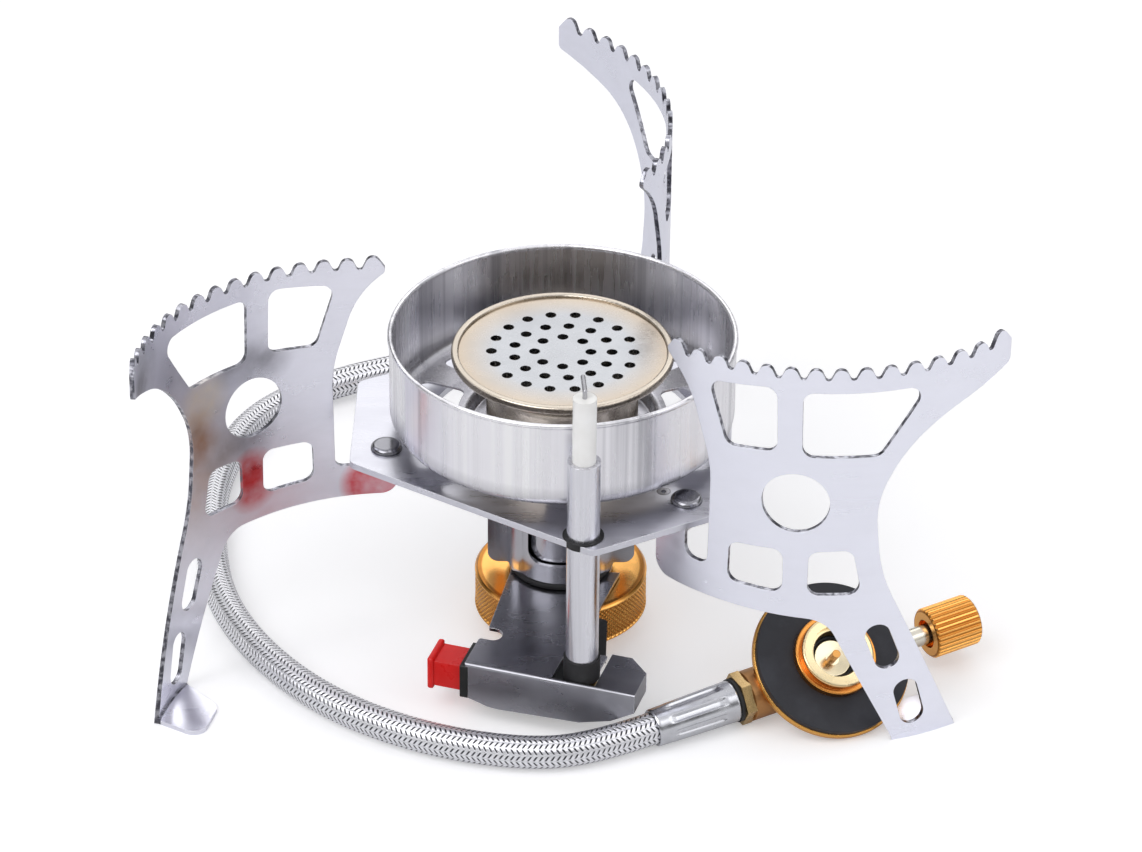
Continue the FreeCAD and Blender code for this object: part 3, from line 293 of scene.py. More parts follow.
def placed(points, origin, axis, side):
    """Moves points made about Z so that Z lies along axis and X near side."""
    axis = np.array(axis, float) / np.linalg.norm(axis)
    side = np.array(side, float)
    x_axis = side - axis * (side @ axis)
    x_axis /= np.linalg.norm(x_axis)
    y_axis = np.cross(axis, x_axis)
    turned = points[..., 0:1] * x_axis + points[..., 1:2] * y_axis + points[..., 2:3] * axis
    return turned + np.array(origin, float)


def finish_piece(piece, look, body, slot, *replaced):
    piece.data.materials.append(look.material)
    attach(piece, body)
    if replaced:
        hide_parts(*replaced)
    return piece


def dress(node, look):
    """Gives a CAD node its material."""
    for place in NODES[node].material_slots:
        place.material = look.material


# ---------------------------------------------------------------- places read from the record

MOUNTS = {mount["name"]: mount for mount in RECORD["mounts"]}
JOINTS = {joint["name"]: joint for joint in RECORD["behaviour"]["joints"]}
THREAD_AXIS = np.array(MOUNTS["canister_thread"]["axis"])
VALVE_AXIS = np.array(JOINTS["knob_turn"]["axis"])
KNOB_JOINT_AT = 30.0 * MM
VALVE_AT = np.array(JOINTS["knob_turn"]["pos_m"]) - VALVE_AXIS * KNOB_JOINT_AT
LEG_ARC = 49.35 * MM
LEFT_ARC_CENTRE = (-37.515 * MM, -51.768 * MM)
RIGHT_ARC_CENTRE = (56.730 * MM, 2.363 * MM)
BACK_ARC_CENTRE = (-26.075 * MM, 58.373 * MM)
INLET_ANGLE = math.radians(75.0)
INLET_AXIS = np.array([math.cos(INLET_ANGLE), math.sin(INLET_ANGLE), 0.0])
INLET_HEIGHT = 8.5 * MM


# ---------------------------------------------------------------- materials

STEEL = from_screen(206, 206, 211)
CUT_EDGE = from_screen(104, 104, 112)
GOLD = from_screen(228, 168, 86)
CUP_FOOT_SHADE_BAND = (57.5 * MM, 53.5 * MM)
STRAW_RING = (15.0 * MM, 22.0 * MM)
COLLAR_RING = (7.7 * MM, 8.0 * MM)
# radii over which the painted shade in the grooves fades out
KNURL_GROOVES = (18.38 * MM, 18.62 * MM)
KNOB_GROOVES = (5.24 * MM, 5.42 * MM)


def banded_cup():
    """Satin cup steel: upright bands of fine brush lines and broad painted reflection streaks, and
    painted shade darkening the wall towards its floor.
    """
    look = metal("polished cup steel", from_screen(240, 239, 243), 0.27, (520, 520, 9), 0.05, 0.03)
    # painted reflection: broad upright light and dark streaks; the thin streaks below are brush
    # lines
    reflection_streaks = look.noise(look.stretched((70, 70, 2)), 1.0, 2.0, 0.5)
    thin = look.noise(look.stretched((380, 380, 4)), 1.0, 3.0, 0.6)
    bands = look.calc("MULTIPLY_ADD", thin, 0.45, look.calc("MULTIPLY", reflection_streaks, 0.55))
    shade = look.blend(look.span(bands, 0.53, 0.70), look.shade, from_screen(158, 158, 164))
    shade = look.blend(look.span(bands, 0.45, 0.36), shade, from_screen(246, 246, 247))
    # painted shade: the wall darkens towards its floor
    low = look.span(look.axis(2), *CUP_FOOT_SHADE_BAND, 0.0, 0.5)
    look.feed(look.shader, "Base Color", look.blend(low, shade, from_screen(120, 120, 126)))
    return look


def warm_disc():
    """Burner steel, straw coloured by heat towards its rim."""
    look = metal("burner face steel", from_screen(188, 190, 194), 0.26, (300, 300, 300), 0.06, 0.08)
    flat = look.add("ShaderNodeVectorMath", {"operation": "MULTIPLY"}, {
        0: look.spot(), 1: (1, 1, 0)}).outputs["Vector"]
    reach = look.add("ShaderNodeVectorMath", {"operation": "LENGTH"}, {0: flat}).outputs["Value"]
    share = look.span(reach, *STRAW_RING, 0.0, 0.55)
    look.feed(look.shader, "Base Color", look.blend(share, look.shade, from_screen(206, 180, 142)))
    return look


def grooved(name, origin, axis, low, high):
    """Anodised gold with painted shade in the grooves: brown where nearer the axis than low, pale
    past high.
    """
    look = metal(name, from_screen(248, 184, 100), 0.22, (400, 400, 400), 0.03, 0.04)
    reach = look.off_axis(origin, axis)
    # painted shade: the groove floors turn brown
    floor = look.calc("MULTIPLY", look.span(reach, high, low),
                      look.span(reach, low * 0.93, low * 0.95))
    look.feed(look.shader, "Base Color", look.blend(floor, look.shade, from_screen(178, 118, 50)))
    return look


def collar_ring():
    """Pale turned top inside, an orange anodised ring outside."""
    look = metal("threaded collar alloy", from_screen(240, 220, 174), 0.26, (400, 400, 400),
                 0.04, 0.04)
    reach = look.off_axis(VALVE_AT, THREAD_AXIS)
    share = look.span(reach, *COLLAR_RING)
    look.feed(look.shader, "Base Color", look.blend(share, look.shade, from_screen(222, 150, 74)))
    return look


# brown heat stains, a painted cream highlight, dark grey patches and red patches on the left leg:
# centre, radius, fade, strength, colour
LEFT_LEG_MARKS = (
    # painted highlight: the cream patch beside the round hole
    ((-0.0752, -0.0208, 0.0680), 0.003, 0.005, 0.95, from_screen(255, 244, 228)),
    ((-0.0758, -0.0214, 0.0575), 0.001, 0.005, 0.85, from_screen(196, 150, 114)),
    ((-0.0765, -0.0226, 0.0625), 0.001, 0.004, 0.60, from_screen(210, 176, 146)),
    ((-0.0690, -0.0146, 0.0735), 0.001, 0.006, 0.75, from_screen(110, 108, 116)),
    ((-0.0625, -0.0098, 0.0720), 0.001, 0.006, 0.75, from_screen(120, 118, 126)),
    ((-0.0660, -0.0122, 0.0540), 0.001, 0.006, 0.85, from_screen(104, 102, 110)),
    ((-0.0712, -0.0166, 0.0530), 0.001, 0.006, 0.70, from_screen(140, 132, 130)),
    ((-0.0661, -0.0122, 0.0452), 0.003, 0.003, 1.00, from_screen(212, 62, 66)),
    ((-0.0661, -0.0122, 0.0402), 0.003, 0.003, 1.00, from_screen(212, 62, 66)),
    ((-0.0403, -0.0030, 0.0362), 0.005, 0.003, 1.00, from_screen(212, 42, 52)),
    ((-0.0854, -0.0440, 0.0870), 0.002, 0.008, 0.80, from_screen(96, 95, 104)),
)

cup_look = banded_cup()
# painted highlight: the plate's rims are made pale
plate_look = edged(metal("rolled plate steel", from_screen(214, 214, 222), 0.3, (60, 500, 500),
                         0.04, 0.07, dents=0.10), 0.3 * MM, from_screen(240, 240, 244), 0.5)
hood_look = edged(metal("bright hood steel", from_screen(196, 196, 202), 0.2, (500, 500, 12), 0.08,
                        0.06), 0.2 * MM, CUT_EDGE, 0.6)
# painted highlight: the bracket's rims are made pale
bracket_look = edged(metal("dull bracket steel", from_screen(162, 162, 169), 0.27, (60, 160, 160),
                           0.08, 0.16, dents=0.12), 0.25 * MM, from_screen(226, 226, 230), 0.6)
sleeve_look = metal("drawn tube steel", from_screen(230, 230, 236), 0.24, (700, 700, 14), 0.08,
                    0.05)
# painted shade: a wide dark ring round the rim of each rivet head
rivet_look = edged(metal("rivet steel", from_screen(150, 150, 156), 0.14, (300, 300, 300), 0.04,
                         0.12), 0.8 * MM, from_screen(58, 58, 64), 0.9)
# painted shade: a dark ring round the rim of each eyelet
eyelet_look = edged(metal("eyelet steel", from_screen(188, 188, 194), 0.2, (300, 300, 300), 0.04,
                          0.10), 0.4 * MM, from_screen(76, 76, 84), 0.9)
ferrule_look = metal("crimped steel", from_screen(206, 207, 212), 0.22, (300, 300, 300), 0.06, 0.08)
# painted highlight: the rims of the gold parts are made pale
gold_look = edged(metal("gold anodised alloy", GOLD, 0.26, (400, 400, 400), 0.04, 0.04),
                  0.2 * MM, from_screen(250, 214, 150), 0.5)
knurl_look = grooved("knurled gold alloy", (0, 0, 0), (0, 0, 1), *KNURL_GROOVES)
knob_look = grooved("ribbed gold alloy", VALVE_AT, VALVE_AXIS, *KNOB_GROOVES)
collar_look = collar_ring()
bore_look = metal("thread in shade", from_screen(96, 82, 60), 0.3, (400, 400, 400), 0.06, 0.06)
bronze_look = metal("rough bronze", from_screen(188, 140, 92), 0.42, (300, 300, 300), 0.08, 0.14,
                    dents=0.2)
brass_look = metal("machined brass", from_screen(212, 180, 126), 0.24, (300, 300, 300), 0.08, 0.12)
seat_look = metal("valve seat alloy", from_screen(236, 222, 188), 0.24, (300, 300, 300), 0.05, 0.06)
pin_look = metal("depressor pin brass", from_screen(206, 150, 84), 0.3, (300, 300, 300), 0.05, 0.06)
spindle_look = metal("spindle steel", from_screen(226, 220, 206), 0.2, (300, 300, 300), 0.05, 0.05)
wire_look = metal("spring wire", from_screen(190, 190, 194), 0.3, (300, 300, 300), 0.05, 0.05)
head_look = metal("burner steel", from_screen(206, 196, 182), 0.24, (300, 300, 300), 0.05, 0.07)
disc_look = warm_disc()
leg_look = cut(metal("stamped leg steel", from_screen(244, 245, 255), 0.32, (30, 200, 200), 0.015,
                     0.025, dents=0.06), RIGHT_ARC_CENTRE)
back_leg_look = cut(metal("stamped back leg steel", from_screen(230, 231, 242), 0.3,
                          (30, 200, 200), 0.03, 0.05, dents=0.10), BACK_ARC_CENTRE)
# the left leg's patches hold heat stains and a painted highlight
tinted_leg_look = cut(tinted(
    metal("heat tinted leg steel with painted highlight", from_screen(238, 238, 248), 0.3, (30, 200, 200), 0.03, 0.05,
          dents=0.10), LEFT_LEG_MARKS), LEFT_ARC_CENTRE)
rubber_look = soft_black("black rubber", from_screen(34, 34, 36), 0.55)
pad_look = soft_black("black flange pad", from_screen(40, 41, 47), 0.6, 1400.0)
plastic_look = soft_black("black moulded plastic", from_screen(26, 28, 28), 0.35, 500.0)
red_look = soft_black("red moulded plastic", from_screen(228, 20, 16), 0.3, 500.0, 0.5)
ceramic_look = soft_black("white glazed ceramic", from_screen(244, 243, 241), 0.22, 300.0, 0.5)


# ---------------------------------------------------------------- CAD nodes that stay

for node, look in (
    ("base_plate", plate_look),
    ("detent_eyelets", eyelet_look),
    ("wind_cup", cup_look),
    ("burner_head", head_look),
    ("burner_disc", disc_look),
    ("mixing_tube", hood_look),
    ("hub_hood", hood_look),
    ("hub_seal", rubber_look),
    ("gas_core", brass_look),
    ("gas_jet", brass_look),
    ("inlet_fitting", brass_look),
    ("leg_left", tinted_leg_look),
    ("leg_right", leg_look),
    ("leg_back", back_leg_look),
    ("leg_rivets", rivet_look),
    ("leg_washers", rivet_look),
    ("igniter_bracket", bracket_look),
    ("piezo_body", plastic_look),
    ("piezo_bezel", plastic_look),
    ("piezo_button", red_look),
    ("button_spring", wire_look),
    ("electrode_sleeve", sleeve_look),
    ("ceramic_insulator", ceramic_look),
    ("electrode_wire", wire_look),
    ("rubber_boot", rubber_look),
    ("sleeve_grommet", rubber_look),
    ("ignition_lead", rubber_look),
    ("lead_terminal", ferrule_look),
    ("earth_tab", brass_look),
    ("valve_body", bronze_look),
    ("adapter_flange", gold_look),
    ("flange_pad", pad_look),
    ("threaded_collar", collar_look),
    ("valve_o_ring", rubber_look),
    ("depressor_seat", seat_look),
    ("depressor_pin", pin_look),
    ("valve_nut", brass_look),
    ("ferrule_seal", rubber_look),
    ("gland_nut", gold_look),
    ("valve_spindle", spindle_look),
    ("knurled_collar", gold_look),
    ("control_knob", knob_look),
    ("valve_ferrule", ferrule_look),
    ("rear_ferrule", ferrule_look),
):
    dress(node, look)


# ---------------------------------------------------------------- turned pieces

COLLAR_RADIUS = 18.8 * MM
COLLAR_OUTLINE = np.array([
    (8.0, 3.7), (18.2, 3.7), (18.8, 4.3), (18.8, 12.8), (18.2, 13.4), (18.0, 13.4),
    (11.0, 12.9), (11.0, 8.0), (8.0, 8.0),
]) * MM
COLLAR_STATIONS = 61
KNURL_PITCH = 1.15 * MM
KNURL_DEPTH = 0.45 * MM
KNURL_LOW = 4.5 * MM
KNURL_HIGH = 12.6 * MM
KNURL_FADE = 0.25 * MM
KNURL_COUNT = 103
STEPS_PER_RIDGE = 8


def knurl(angle, radius, height):
    """Diamond pyramids: both slanted families of ridges are triangle waves of
    n t / 2 pi plus or minus z / pitch; the lower of the two is the surface."""
    across = KNURL_COUNT * angle / (2 * math.pi)
    along = height / KNURL_PITCH
    first = np.abs((across + along) % 1.0 - 0.5) * 2
    second = np.abs((across - along) % 1.0 - 0.5) * 2
    sunk = np.maximum(first, second)
    band = np.clip((height - KNURL_LOW) / KNURL_FADE, 0, 1)
    band = band * np.clip((KNURL_HIGH - height) / KNURL_FADE, 0, 1)
    wall = (radius > COLLAR_RADIUS - 0.01 * MM).astype(float)
    return -KNURL_DEPTH * sunk * band * wall


def build_collar():
    """The knurled ring: its closed outline turned about Z, pyramids cut into its wall."""
    heights = np.linspace(4.3, 12.8, COLLAR_STATIONS)[1:-1] * MM
    upright = np.stack([np.full(len(heights), COLLAR_RADIUS), heights], axis=1)
    profile = np.concatenate([COLLAR_OUTLINE[:3], upright, COLLAR_OUTLINE[3:]])
    mesh = grid_mesh("knurled_ring", spun(profile, KNURL_COUNT * STEPS_PER_RIDGE, knurl),
                     True, True)
    mesh.set_sharp_from_angle(angle=math.radians(32))
    finish_piece(link_object("knurled_ring", mesh), knurl_look, "stove", "gold_alloy",
                 "knurled_collar")


CRIMP_FLATS = 8
CRIMP_DEPTH = 0.42 * MM
CRIMP_END_DROP = 0.25 * MM
CRIMP_START = 0.14
CRIMP_STOP = 0.84
CRIMP_FADE = 0.08
CRIMP_STATIONS = 60
CRIMP_STEPS = 240


def crimped_sleeve(name, origin, axis, length, big, small, body, replaced):
    """A hose ferrule: a slightly tapered sleeve with long flats pressed in round it.

    Eight flats share the middle: the radius drops by a smooth hump of cos 8 t inside
    a window that fades at both ends."""
    rise = np.linspace(0, 1, CRIMP_STATIONS)
    outer = np.stack([big + (small - big) * rise, length * rise], axis=1)
    outer[0, 0] -= CRIMP_END_DROP
    outer[-1, 0] -= CRIMP_END_DROP
    ends = np.array([[0.0, length], [0.0, 0.0]])
    profile = np.concatenate([outer, ends])

    def press(angle, radius, height):
        share = height / length
        window = np.clip((share - CRIMP_START) / CRIMP_FADE, 0, 1)
        window = window * np.clip((CRIMP_STOP - share) / CRIMP_FADE, 0, 1)
        hump = np.clip(np.cos(CRIMP_FLATS * angle) * 1.6, -0.15, 1.0)
        return -CRIMP_DEPTH * hump * window * (radius > 1.0 * MM)

    points = placed(spun(profile, CRIMP_STEPS, press), origin, axis, (0, 0, 1))
    mesh = grid_mesh(name, points, True, True)
    mesh.set_sharp_from_angle(angle=math.radians(40))
    finish_piece(link_object(name, mesh), ferrule_look, body, "steel_plate", replaced)


THREAD_PITCH = 0.907 * MM
THREAD_DEPTH = 0.3 * MM
THREAD_RUNOUT = 0.3 * MM
THREAD_LOW = 6.9 * MM
THREAD_HIGH = 10.35 * MM
THREAD_WALL = 5.17 * MM
THREAD_BACK = 5.19 * MM
THREAD_STATIONS = 46
THREAD_STEPS = 160


def build_thread():
    """The screw thread in the collar's bore: r = r0 - d (0.5 + 0.5 cos(2 pi z / pitch - t))."""
    rise = np.linspace(THREAD_LOW, THREAD_HIGH, THREAD_STATIONS)
    inner = np.stack([np.full(THREAD_STATIONS, THREAD_WALL), rise], axis=1)
    outer = np.array([[THREAD_BACK, THREAD_HIGH], [THREAD_BACK, THREAD_LOW]])

    def helix(angle, radius, height):
        wave = 0.5 + 0.5 * np.cos(2 * math.pi * height / THREAD_PITCH - angle)
        fade = np.clip((height - THREAD_LOW) / THREAD_RUNOUT, 0, 1)
        fade = fade * np.clip((THREAD_HIGH - height) / THREAD_RUNOUT, 0, 1)
        return -THREAD_DEPTH * wave * fade * (radius < (THREAD_WALL + THREAD_BACK) / 2)

    points = placed(spun(np.concatenate([inner, outer]), THREAD_STEPS, helix), VALVE_AT,
                    THREAD_AXIS, VALVE_AXIS)
    mesh = grid_mesh("bore_thread", points, True, True)
    finish_piece(link_object("bore_thread", mesh), bore_look, "stove", "gold_alloy")


VALVE_SEAL_AT = -22.1 * MM
VALVE_FERRULE_LENGTH = 19.3 * MM
VALVE_FERRULE_RADII = (4.6 * MM, 4.1 * MM)
INLET_END = 24.0 * MM
REAR_FERRULE_LENGTH = 16.0 * MM
REAR_FERRULE_RADII = (4.4 * MM, 4.4 * MM)

build_collar()
crimped_sleeve("valve_crimp_sleeve", VALVE_AT + VALVE_AXIS * VALVE_SEAL_AT, -VALVE_AXIS,
               VALVE_FERRULE_LENGTH, *VALVE_FERRULE_RADII, "stove", "valve_ferrule")
crimped_sleeve("rear_crimp_sleeve", INLET_AXIS * INLET_END + np.array([0, 0, INLET_HEIGHT]),
               INLET_AXIS, REAR_FERRULE_LENGTH, *REAR_FERRULE_RADII, "stove", "rear_ferrule")
build_thread()


# ---------------------------------------------------------------- hose

HOSE_DIAMETER = 7.0 * MM
HOSE_POINTS = [
    (0.01967, -0.04839, 0.00456), (0.00798, -0.05448, 0.00389), (-0.0062, -0.0570, 0.0037),
    (-0.0270, -0.0524, 0.0037), (-0.0474, -0.0409, 0.0037), (-0.0633, -0.0237, 0.0037),
    (-0.0744, -0.0024, 0.0037), (-0.0785, 0.0208, 0.0037), (-0.0792, 0.0462, 0.0037),
    (-0.0720, 0.0760, 0.0039), (-0.0456, 0.0932, 0.0047), (-0.0156, 0.0982, 0.0064),
    (0.0074, 0.0852, 0.0079), (0.01682, 0.06279, 0.0085), (0.01035, 0.03864, 0.0085),
]


def hose_line():
    """Points along the smooth line that the route's points control."""
    curve = bpy.data.curves.new("hose line", "CURVE")
    curve.dimensions = "3D"
    curve.resolution_u = 40
    spline = curve.splines.new("NURBS")
    spline.points.add(len(HOSE_POINTS) - 1)
    for point, place in zip(spline.points, HOSE_POINTS):
        point.co = (*place, 1.0)
    spline.order_u = 3
    spline.use_endpoint_u = True
    holder = link_object("hose line", curve)
    bpy.context.view_layer.update()
    line = bpy.data.meshes.new_from_object(holder)
    count = len(line.vertices)
    places = np.empty(count * 3)
    line.vertices.foreach_get("co", places)
    bpy.data.objects.remove(holder)
    bpy.data.curves.remove(curve)
    bpy.data.meshes.remove(line)
    return places.reshape(-1, 3)


def even_line(line, step):
    """The line walked in equal steps, by linear share between its points."""
    travel = np.concatenate([[0], np.cumsum(np.linalg.norm(np.diff(line, axis=0), axis=1))])
    marks = np.linspace(0, travel[-1], int(round(travel[-1] / step)) + 1)
    return np.stack([np.interp(marks, travel, line[:, k]) for k in range(3)], axis=1), marks


HOSE_LINE = hose_line()
HOSE_STEP = 0.35 * MM
HOSE_STEPS, HOSE_MARKS = even_line(HOSE_LINE, HOSE_STEP)
HOSE_SIDES = 48
STATION_BLOCK = 4000


def hose_directions():
    """At each step of the line: a level way square to it, and the way square to both."""
    along = np.gradient(HOSE_STEPS, axis=0)
    along /= np.linalg.norm(along, axis=1)[:, None]
    side = np.cross(along, (0, 0, 1.0))
    side /= np.linalg.norm(side, axis=1)[:, None]
    return side, np.cross(side, along)


def hose_mesh():
    """A tube: a circle carried along the line, upright side kept level; two flat ends."""
    side, above = hose_directions()
    angle = np.linspace(0, 2 * math.pi, HOSE_SIDES, endpoint=False)
    ring = (side[:, None, :] * np.cos(angle)[None, :, None]
            + above[:, None, :] * np.sin(angle)[None, :, None])
    tube = HOSE_STEPS[:, None, :] + ring * HOSE_DIAMETER / 2
    first = np.repeat(HOSE_STEPS[:1], HOSE_SIDES, axis=0)[None]
    last = np.repeat(HOSE_STEPS[-1:], HOSE_SIDES, axis=0)[None]
    points = np.concatenate([first, tube, last])
    return grid_mesh("gas_hose_braid", points, False, True)


def hose_uv(mesh):
    """UV in metres: u round the tube, v along it, from each corner's nearest station."""
    corner_vertex = np.empty(len(mesh.loops), int)
    mesh.loops.foreach_get("vertex_index", corner_vertex)
    places = np.empty(len(mesh.vertices) * 3)
    mesh.vertices.foreach_get("co", places)
    places = places.reshape(-1, 3)
    sizes = np.empty(len(mesh.polygons), int)
    mesh.polygons.foreach_get("loop_total", sizes)
    face_of = np.repeat(np.arange(len(mesh.polygons)), sizes)
    centres = np.empty(len(mesh.polygons) * 3)
    mesh.polygons.foreach_get("center", centres)
    centres = centres.reshape(-1, 3)
    side, above = hose_directions()

    def station(targets):
        best = np.empty(len(targets), int)
        for low in range(0, len(targets), STATION_BLOCK):
            block = targets[low:low + STATION_BLOCK]
            gaps = np.linalg.norm(block[:, None, :] - HOSE_STEPS[None, :, :], axis=2)
            best[low:low + STATION_BLOCK] = gaps.argmin(axis=1)
        return best

    at_vertex = station(places)
    at_face = station(centres)
    offset = places - HOSE_STEPS[at_vertex]
    turn = np.arctan2((offset * above[at_vertex]).sum(1), (offset * side[at_vertex]).sum(1))
    face_offset = centres - HOSE_STEPS[at_face]
    face_turn = np.arctan2((face_offset * above[at_face]).sum(1),
                           (face_offset * side[at_face]).sum(1))
    corner_turn = turn[corner_vertex]
    jump = corner_turn - face_turn[face_of]
    corner_turn = corner_turn - 2 * math.pi * np.round(jump / (2 * math.pi))
    u = corner_turn / (2 * math.pi)
    v = HOSE_MARKS[at_vertex][corner_vertex]
    layer = mesh.uv_layers.new(name="braid")
    layer.data.foreach_set("uv", np.stack([u, v / HOSE_DIAMETER], axis=1).ravel())


BRAID_ROWS = 16.0
BRAID_SLITS = 6.2
BRAID_LEAN = 0.75
BRAID_WIRES = 5.0


def braid_look():
    """Woven wire braid under a clear jacket.

    Sixteen rows run along the hose. In each row short slanted slits follow one another,
    leaning one way and the other by turns: they are where the fraction of
    slits times v plus lean times p is near a half, p the zigzag of the way round.
    Between the slits the strands bulge."""
    look = Look("braided steel hose", STEEL, 1.0, 0.3)
    uv = look.add("ShaderNodeUVMap", {"uv_map": "braid"}).outputs["UV"]
    parts = look.add("ShaderNodeSeparateXYZ", None, {0: uv})
    round_way = look.calc("MULTIPLY", parts.outputs["X"], BRAID_ROWS)
    long_way = look.calc("MULTIPLY", parts.outputs["Y"], BRAID_SLITS)
    zigzag = look.calc("PINGPONG", round_way, 1.0)
    phase = look.calc("FRACT", look.calc("MULTIPLY_ADD", zigzag, BRAID_LEAN, long_way))
    middle = look.calc("ABSOLUTE", look.calc("SUBTRACT", phase, 0.5))
    bulge = look.calc("SINE", look.calc("MULTIPLY", look.calc("FRACT", round_way), math.pi))
    slit = look.calc("MULTIPLY", look.span(middle, 0.08, 0.24, 1.0, 0.0),
                     look.span(bulge, 0.20, 0.65))
    wires = look.calc("PINGPONG", look.calc("MULTIPLY", phase, BRAID_WIRES), 0.5)
    height = look.calc("MULTIPLY_ADD", bulge, 0.35, look.calc("MULTIPLY_ADD", wires, 0.2, 0.45))
    height = look.calc("MULTIPLY", height, look.calc("SUBTRACT", 1.0, slit))
    shade = look.blend(slit, from_screen(244, 244, 248), from_screen(50, 50, 56))
    # painted shade in the grooves between the rows of strands
    painted_groove_shade = look.span(bulge, 0.30, 0.0, 0.0, 0.35)
    shade = look.blend(painted_groove_shade, shade, from_screen(120, 120, 128))
    grime = look.noise(look.spot(), 70.0, 3.0)
    shade = look.blend(look.span(grime, 0.55, 0.8, 0.0, 0.2), shade, from_screen(160, 160, 166))
    look.feed(look.shader, "Base Color", shade)
    look.feed(look.shader, "Roughness", look.span(height, 0.1, 0.9, 0.45, 0.26))
    look.feed(look.shader, "Normal", look.relief(height, 0.8, 0.00025))
    look.shader.inputs["Coat Weight"].default_value = 0.3
    look.shader.inputs["Coat Roughness"].default_value = 0.12
    return look


hose_data = hose_mesh()
hose_uv(hose_data)
hose = link_object("gas_hose_braid", hose_data)
finish_piece(hose, braid_look(), "stove", "hose_braid", "gas_hose")


# ---------------------------------------------------------------- floor, lights, camera

FLOOR_RADIUS = 3.0
FLOOR_SIDES = 96
FLOOR_GLOW = 0.34
FLOOR_SHEEN = 0.08


def build_floor():
    """A pale round floor; it looks white where nothing shades it."""
    angle = np.linspace(0, 2 * math.pi, FLOOR_SIDES, endpoint=False)
    rim = np.stack([FLOOR_RADIUS * np.cos(angle), FLOOR_RADIUS * np.sin(angle),
                    np.zeros(FLOOR_SIDES)], axis=1)
    mesh = bpy.data.meshes.new("floor")
    mesh.from_pydata(rim.tolist(), [], [list(range(FLOOR_SIDES))])
    floor = link_object("floor", mesh)
    look = Look("pale floor", (0.82, 0.82, 0.84, 1.0), 0.0, 0.75)
    look.shader.inputs["Specular IOR Level"].default_value = 0.1
    glow = look.add("ShaderNodeEmission", None, {"Color": (1, 1, 1, 1), "Strength": 1.0})
    both = look.add("ShaderNodeAddShader")
    rays = look.add("ShaderNodeLightPath")
    seen = look.calc("ADD", rays.outputs["Is Camera Ray"], rays.outputs["Is Transmission Ray"],
                     clamp=True)
    seen = look.calc("MULTIPLY_ADD", seen, FLOOR_GLOW,
                     look.calc("MULTIPLY", rays.outputs["Is Glossy Ray"], FLOOR_SHEEN), clamp=True)
    look.tree.links.new(seen, glow.inputs["Strength"])
    out = look.tree.nodes["Material Output"]
    look.tree.links.new(look.shader.outputs[0], both.inputs[0])
    look.tree.links.new(glow.outputs[0], both.inputs[1])
    look.tree.links.new(both.outputs[0], out.inputs["Surface"])
    mesh.materials.append(look.material)


# (height in the world's sphere, brightness) of each band that shiny metal mirrors
STUDIO_BANDS = ((0.10, 0.95), (0.18, 0.30), (0.34, 0.10), (0.48, 0.22), (0.60, 0.85), (0.75, 1.0))
PLAIN_LIGHT = 0.5


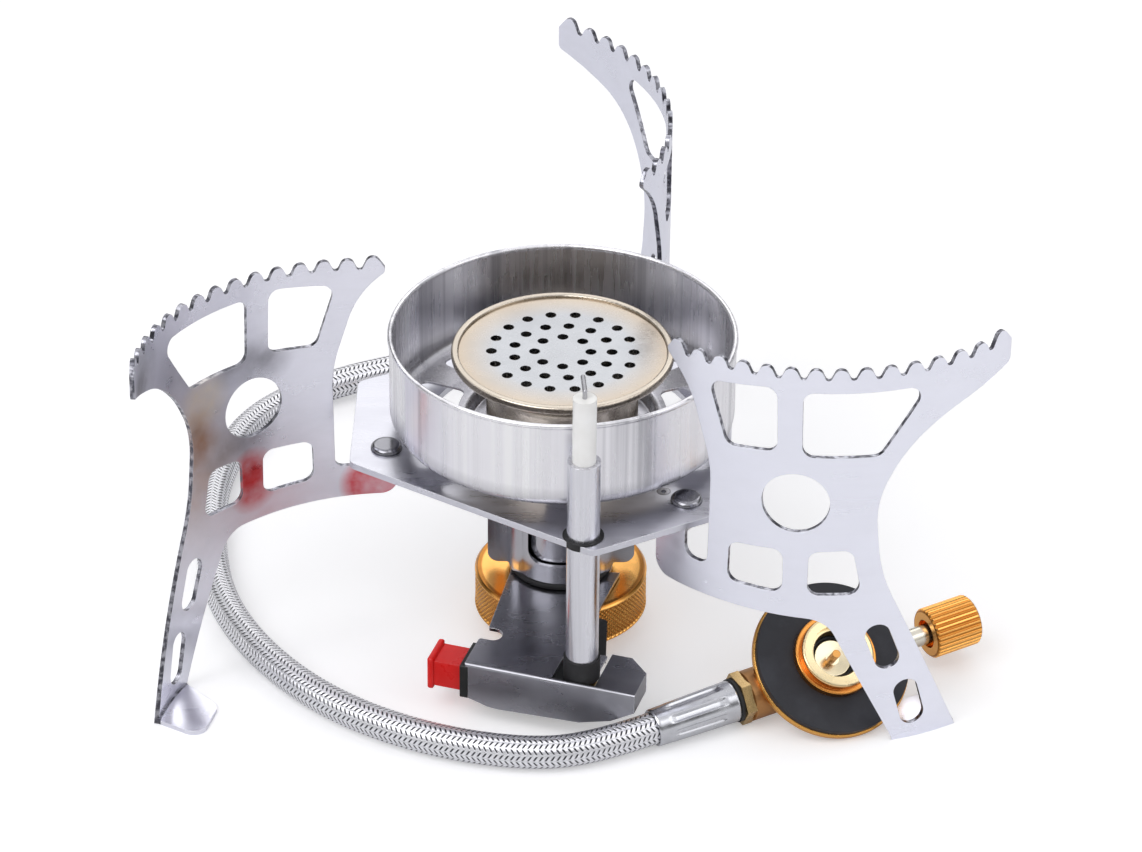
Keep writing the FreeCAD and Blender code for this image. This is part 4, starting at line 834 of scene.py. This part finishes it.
def build_world():
    """White to the eye; a studio with soft grey bands to shiny metal; plain light to the rest."""
    world = bpy.data.worlds.new("studio")
    bpy.context.scene.world = world
    world.use_nodes = True
    tree = world.node_tree
    tree.nodes.clear()
    out = tree.nodes.new("ShaderNodeOutputWorld")
    rays = tree.nodes.new("ShaderNodeLightPath")
    spot = tree.nodes.new("ShaderNodeTexCoord")
    parts = tree.nodes.new("ShaderNodeSeparateXYZ")
    tree.links.new(spot.outputs["Generated"], parts.inputs[0])
    bands = tree.nodes.new("ShaderNodeValToRGB")
    stops = bands.color_ramp
    stops.elements[0].position = 0.0
    stops.elements[0].color = (1.0, 1.0, 1.0, 1)
    stops.elements[1].position = 1.0
    stops.elements[1].color = (0.95, 0.95, 0.97, 1)
    for position, value in STUDIO_BANDS:
        stop = stops.elements.new(position)
        stop.color = (value, value, value * 1.02, 1)
    tree.links.new(parts.outputs["Z"], bands.inputs["Fac"])
    plain = tree.nodes.new("ShaderNodeBackground")
    plain.inputs["Color"].default_value = (1, 1, 1, 1)
    plain.inputs["Strength"].default_value = PLAIN_LIGHT
    white = tree.nodes.new("ShaderNodeBackground")
    white.inputs["Color"].default_value = (1, 1, 1, 1)
    white.inputs["Strength"].default_value = 1.0
    mirror = tree.nodes.new("ShaderNodeBackground")
    mirror.inputs["Strength"].default_value = 1.0
    tree.links.new(bands.outputs["Color"], mirror.inputs["Color"])
    see_through = tree.nodes.new("ShaderNodeMath")
    see_through.operation = "ADD"
    see_through.use_clamp = True
    tree.links.new(rays.outputs["Is Camera Ray"], see_through.inputs[0])
    tree.links.new(rays.outputs["Is Transmission Ray"], see_through.inputs[1])
    first = tree.nodes.new("ShaderNodeMixShader")
    second = tree.nodes.new("ShaderNodeMixShader")
    tree.links.new(rays.outputs["Is Glossy Ray"], first.inputs[0])
    tree.links.new(plain.outputs[0], first.inputs[1])
    tree.links.new(mirror.outputs[0], first.inputs[2])
    tree.links.new(see_through.outputs[0], second.inputs[0])
    tree.links.new(first.outputs[0], second.inputs[1])
    tree.links.new(white.outputs[0], second.inputs[2])
    tree.links.new(second.outputs[0], out.inputs["Surface"])


def area_light(name, place, target, size, power):
    data = bpy.data.lights.new(name, "AREA")
    data.shape = "RECTANGLE"
    data.size, data.size_y = size
    data.energy = power
    lamp = link_object(name, data)
    lamp.location = place
    direction = Vector(target) - Vector(place)
    lamp.rotation_mode = "QUATERNION"
    lamp.rotation_quaternion = direction.to_track_quat("-Z", "Y")


CAMERA_PLACE = (0.0, -0.91174, 0.63035)
CAMERA_PITCH = 0.567317
CAMERA_ROLL = 0.010156
CAMERA_YAW = 0.002106
CAMERA_LENS = 158.57
CAMERA_SENSOR = 36.0


def build_camera():
    data = bpy.data.cameras.new("camera")
    data.lens = CAMERA_LENS
    data.sensor_width = CAMERA_SENSOR
    camera = link_object("camera", data)
    ahead = Vector((math.sin(CAMERA_YAW) * math.cos(CAMERA_PITCH),
                    math.cos(CAMERA_YAW) * math.cos(CAMERA_PITCH), -math.sin(CAMERA_PITCH)))
    right = Vector((math.cos(CAMERA_YAW), -math.sin(CAMERA_YAW), 0))
    above = right.cross(ahead)
    roll_right = right * math.cos(CAMERA_ROLL) + above * math.sin(CAMERA_ROLL)
    roll_above = above * math.cos(CAMERA_ROLL) - right * math.sin(CAMERA_ROLL)
    turn = Matrix((roll_right, roll_above, -ahead)).transposed()
    camera.rotation_mode = "QUATERNION"
    camera.rotation_quaternion = turn.to_quaternion()
    camera.location = CAMERA_PLACE
    bpy.context.scene.camera = camera


# each lamp's name, place, the point it faces, width and length, and power in watts
LAMPS = (
    ("key", (-0.5, -0.5, 0.9), (0, 0, 0.03), (0.8, 0.8), 5.0),
    ("fill", (0.8, -0.3, 0.6), (0, 0, 0.03), (0.6, 0.9), 1.8),
    ("rim", (0.1, 0.9, 0.7), (0, 0, 0.04), (1.2, 0.5), 2.0),
)

build_floor()
build_world()
for lamp_facts in LAMPS:
    area_light(*lamp_facts)
build_camera()
bpy.context.scene.view_settings.view_transform = "Standard"
